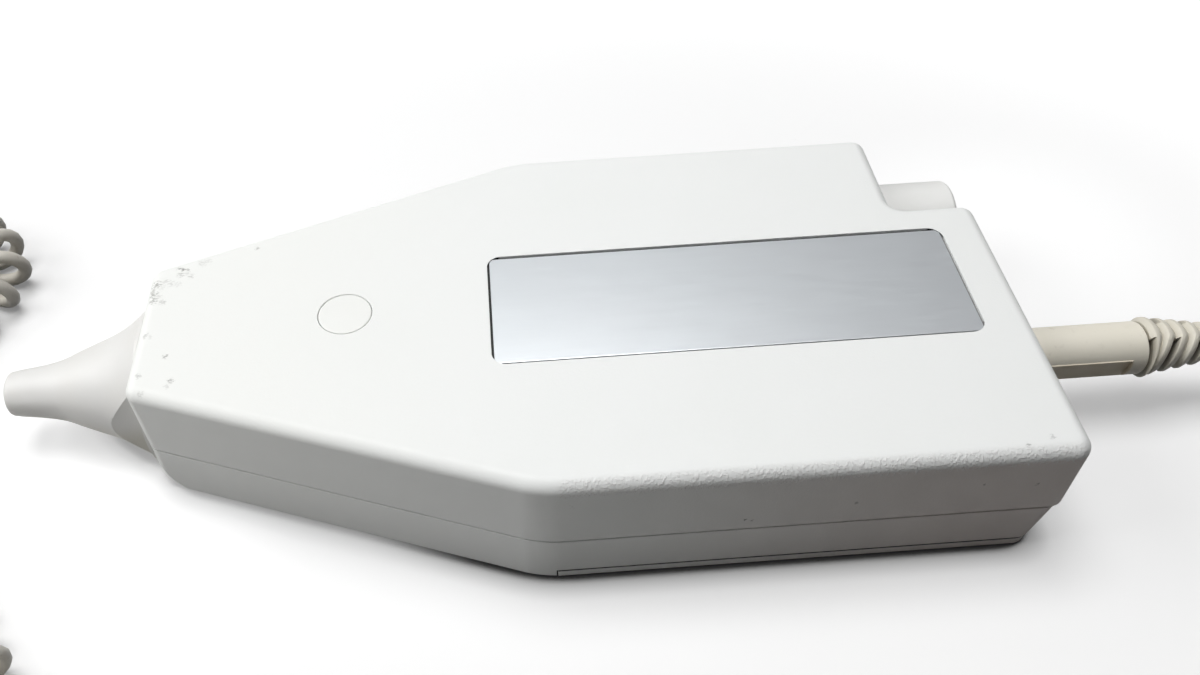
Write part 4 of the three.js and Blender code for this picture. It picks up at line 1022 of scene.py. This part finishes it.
def half_slots(first, degrees, spared):
    """Ring slots before every second rib, on one side of the boot, as one comb-shaped tool."""
    profile = [(7, -1)]
    for i in range(first, BOOT_RIBS, 2):
        here = i * BOOT_PITCH
        waist = max(boot_radius(here) - 2.2, 1.75)
        profile += [(6, here - 0.75), (waist, here - 0.5), (waist, here + 0.5), (6, here + 0.9)]
    profile += [(7, BOOT_LENGTH + 1), (7, -1)]
    comb = turned("comb", "x", profile, (PLUG_FACE + BOOT_START, JACK_Y, JACK_Z), 72)
    other_half = block("half", (PLUG_FACE, FAR), (JACK_Y - 9, JACK_Y + 9), (JACK_Z - 9, JACK_Z + spared))
    return cut(comb, turn_round_plug(other_half, degrees))


def make_boot():
    """The strain relief: V-shaped ribs that get smaller towards the cord, slotted from two sides."""
    profile = [(0, BOOT_START)]
    for i in range(BOOT_RIBS):
        here = BOOT_START + i * BOOT_PITCH
        radius = boot_radius(i * BOOT_PITCH)
        profile += [
            (radius - 0.75, here + 0.05), (radius - 0.3, here + 0.4), (radius, here + 0.85),
            (radius, here + 1.35), (radius - 0.3, here + 1.85), (radius - 0.85, here + 2.4),
        ]
    end = BOOT_START + BOOT_LENGTH
    profile += [(2.1, end), (0, end)]
    boot = turned("plug_boot", "x", profile, (PLUG_FACE, JACK_Y, JACK_Z), 96)
    upright = SLOT_TURN - 90
    cut(boot, half_slots(0, upright, 0.4), half_slots(1, upright + 180, 2.9))
    lean_back(boot)
    return boot


def lean_back(boot):
    """Draws the slotted half of each rib back towards the grip, and notes how deep each point lies in a
    hollow, for painted shade there.
    """
    turn = math.radians(SLOT_TURN)
    down = Vector((0, math.cos(turn), math.sin(turn)))
    hollow = boot.data.attributes.new("hollow", "FLOAT", "POINT")
    for vert, mark in zip(boot.data.vertices, hollow.data):
        place = case_point(vert.co) - Vector((PLUG_FACE + BOOT_START, JACK_Y, JACK_Z))
        sunk = boot_radius(place.x) - math.hypot(place.y, place.z) - 0.5
        mark.value = max(0.2, min(1, sunk / 1.5))  # the ribs are a little darker than the grip all over, and painted shade deepens in the hollows
        share = max(0, min(1, place.x / 3, (BOOT_LENGTH - place.x) / 5))
        vert.co.x -= 0.5 * share * max(0, place.dot(down)) * MM


def make_contact():
    return turned("plug_contact", "x", [
        (0, -14), (0.6, -14), (1.1, -13.75), (1.5, -13.3), (1.6, -12.8), (1.45, -12.1), (1.26, -11.6),
        (1.4, -11.25), (1.75, -11), (1.75, -8.2), (1.62, -8.1), (1.62, -7.5), (1.75, -7.4), (1.75, -0.3),
        (0, -0.3),
    ], (PLUG_FACE, JACK_Y, JACK_Z), 48)


def place_far(piece, name):
    """A copy of a plug piece, turned to lie behind the curled cord's end."""
    copy = new_object(name, piece.data.copy())
    there = Matrix.Translation(at(-78, -17.3, 5.5)) @ Matrix.Rotation(math.pi / 2, 4, "Z")
    copy.matrix_world = there @ Matrix.Translation(-at(PLUG_FACE, JACK_Y, JACK_Z))
    return settle(copy)


def make_plugs():
    pieces = [
        (make_contact(), "headset_contact", "plug_metal", "plug_pin", "headset_plug_pin"),
        (make_grip(), "headset_grip", "plug_plastic", "plug_handle", "headset_plug_handle"),
        (make_boot(), "headset_boot", "plug_plastic", "strain_relief", "headset_strain_relief"),
    ]
    far = []
    for piece, far_name, slot, node, far_node in pieces:
        far.append(finish(place_far(piece, far_name), slot, "headset_cord", far_node))
        finish(piece, slot, "headset_cord", node)
    return far


def make_cord(far_plug):
    """The one cord, from the near plug's boot through the curls to the headset plug."""
    points = cord_points()
    line = bpy.data.curves.new("headset_cord", "CURVE")
    line.dimensions = "3D"
    line.bevel_depth = CORD_RADIUS * MM
    line.bevel_resolution = 4
    line.use_fill_caps = True
    spline = line.splines.new("POLY")
    spline.points.add(len(points) - 1)
    for knot, point in zip(spline.points, points):
        knot.co = (*at(*point), 1)
    spline.use_smooth = True
    line.materials.append(finishes["cord_jacket"])
    cord = new_object("headset_cord", line)
    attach(cord, "headset_cord")
    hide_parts("cord_lead", "curly_cord", "cord_tail")


make_upper_case()
make_lower_case()
make_battery_cover()
make_label()
make_case_screws()
make_nose()
make_probe_window()
make_button()
make_button_spring()
make_knob()
make_cord(make_plugs())


# Table and light

CONTACT_LIGHT = [(0.57, 0.015), (0.615, 0.42), (0.65, 0.58), (0.79, 0.77), (1.0, 1.0)]  # openness, light
TABLE_GLOW = [  # painted pools of light that lift the shadows: a place on the table, the distances over which its glow fades, and how strong it is
    ((-0.09, -0.02, 0), (0.02, 0.06), 0.16), ((0.11, 0.026, 0), (0.015, 0.055), 0.11),
]


def seen_directly(material):
    """1 for rays from the camera, a mirror or glass, and 0 for those that light the object."""
    path = new_node(material, "LightPath")
    seen = path["Is Camera Ray"]
    for ray in ("Is Glossy Ray", "Is Transmission Ray"):
        seen = reckon(material, "MAXIMUM", seen, path[ray])
    return seen


def contact_light(material):
    """Painted contact shade for the table's glow: low where the object closes the table in, less so
    beside the taper, and 1 in the open.
    """
    openness = new_node(material, "AmbientOcclusion", {"Distance": 5 * MM}, samples=24)["AO"]
    light = ramp(material, openness, [(value, (grey, grey, grey, 1)) for value, grey in CONTACT_LIGHT])
    beside_case = spread(material, axes_of(material)["X"], -0.030, -0.004, 0.5, 1, smooth=True)
    closed = reckon(material, "SUBTRACT", 1, light)
    return reckon(material, "SUBTRACT", 1, reckon(material, "MULTIPLY", closed, beside_case))


def make_floor():
    """A white table top. What the camera and mirrors see of it glows, painted light that softens shadows,
    more so away from the case and in a few patches, but not where the object closes it in: there painted
    contact shade keeps it dark."""
    table = add(bpy.ops.mesh.primitive_plane_add, "table_top", size=12)
    material = new_material(
        "table_top", (0.055, 0.055, 0.055), 0.9, Specular_IOR_Level=0, Emission_Color=(1, 1, 1, 1),
    )
    bright = reckon(material, "MULTIPLY", seen_directly(material), contact_light(material))
    tint(material, bright, (0.60, 0.60, 0.60))
    away = distance_from(material, (-0.02, -0.06, 0))
    shine = spread(material, away, 0.15, 0.42, 0.38, 1, smooth=True)
    for place, (near, far), glow in TABLE_GLOW:
        patch = spread(material, distance_from(material, place), near, far, glow, 0, smooth=True)
        shine = reckon(material, "ADD", shine, patch)
    strength = reckon(material, "MULTIPLY", bright, shine)
    feed(material, shader_socket(material, "Emission Strength"), strength)
    table.data.materials.append(material)


def make_world():
    """Dim even light on the object, and a pale room for the camera and mirrors, greyer to the right."""
    world = bpy.data.worlds.new("studio")
    world.use_nodes = True
    bpy.context.scene.world = world
    direction = new_node(world, "TexCoord")["Generated"]
    across = new_node(world, "SeparateXYZ", {0: direction})["X"]
    room = ramp(world, across, [(0.15, (0.61, 0.625, 0.64, 1)), (0.45, (0.34, 0.34, 0.35, 1))])
    path = new_node(world, "LightPath")
    lit = blend(world, path["Is Diffuse Ray"], room, (0.04, 0.04, 0.041, 1))
    seen = blend(world, path["Is Camera Ray"], lit, (1, 1, 1, 1))
    feed(world, world.node_tree.nodes["Background"].inputs["Color"], seen)


def make_softbox(name, place, size, power):
    """A square soft lamp that looks at the middle of the case and doesn't show itself."""
    lamp = bpy.data.lights.new(name, "AREA")
    lamp.shape = "SQUARE"
    lamp.size = size
    lamp.energy = power
    holder = new_object(name, lamp)
    holder.visible_camera = False
    place = Vector(place)
    towards = (place - Vector((0, 0, 0.02))).normalized()
    holder.matrix_world = Matrix.Translation(place) @ towards.to_track_quat("Z", "Y").to_matrix().to_4x4()


make_floor()
make_world()
for lamp in (  # name, place, size and power
    ("window_light", (-0.61, 0.07, 0.46), 0.45, 2.55),
    ("overhead_light", (-0.05, 0.13, 0.80), 0.42, 4.9),
    ("front_light", (-0.17, -0.17, 0.06), 0.09, 0.08),
):
    make_softbox(*lamp)

bpy.context.scene.view_settings.view_transform = "Standard"
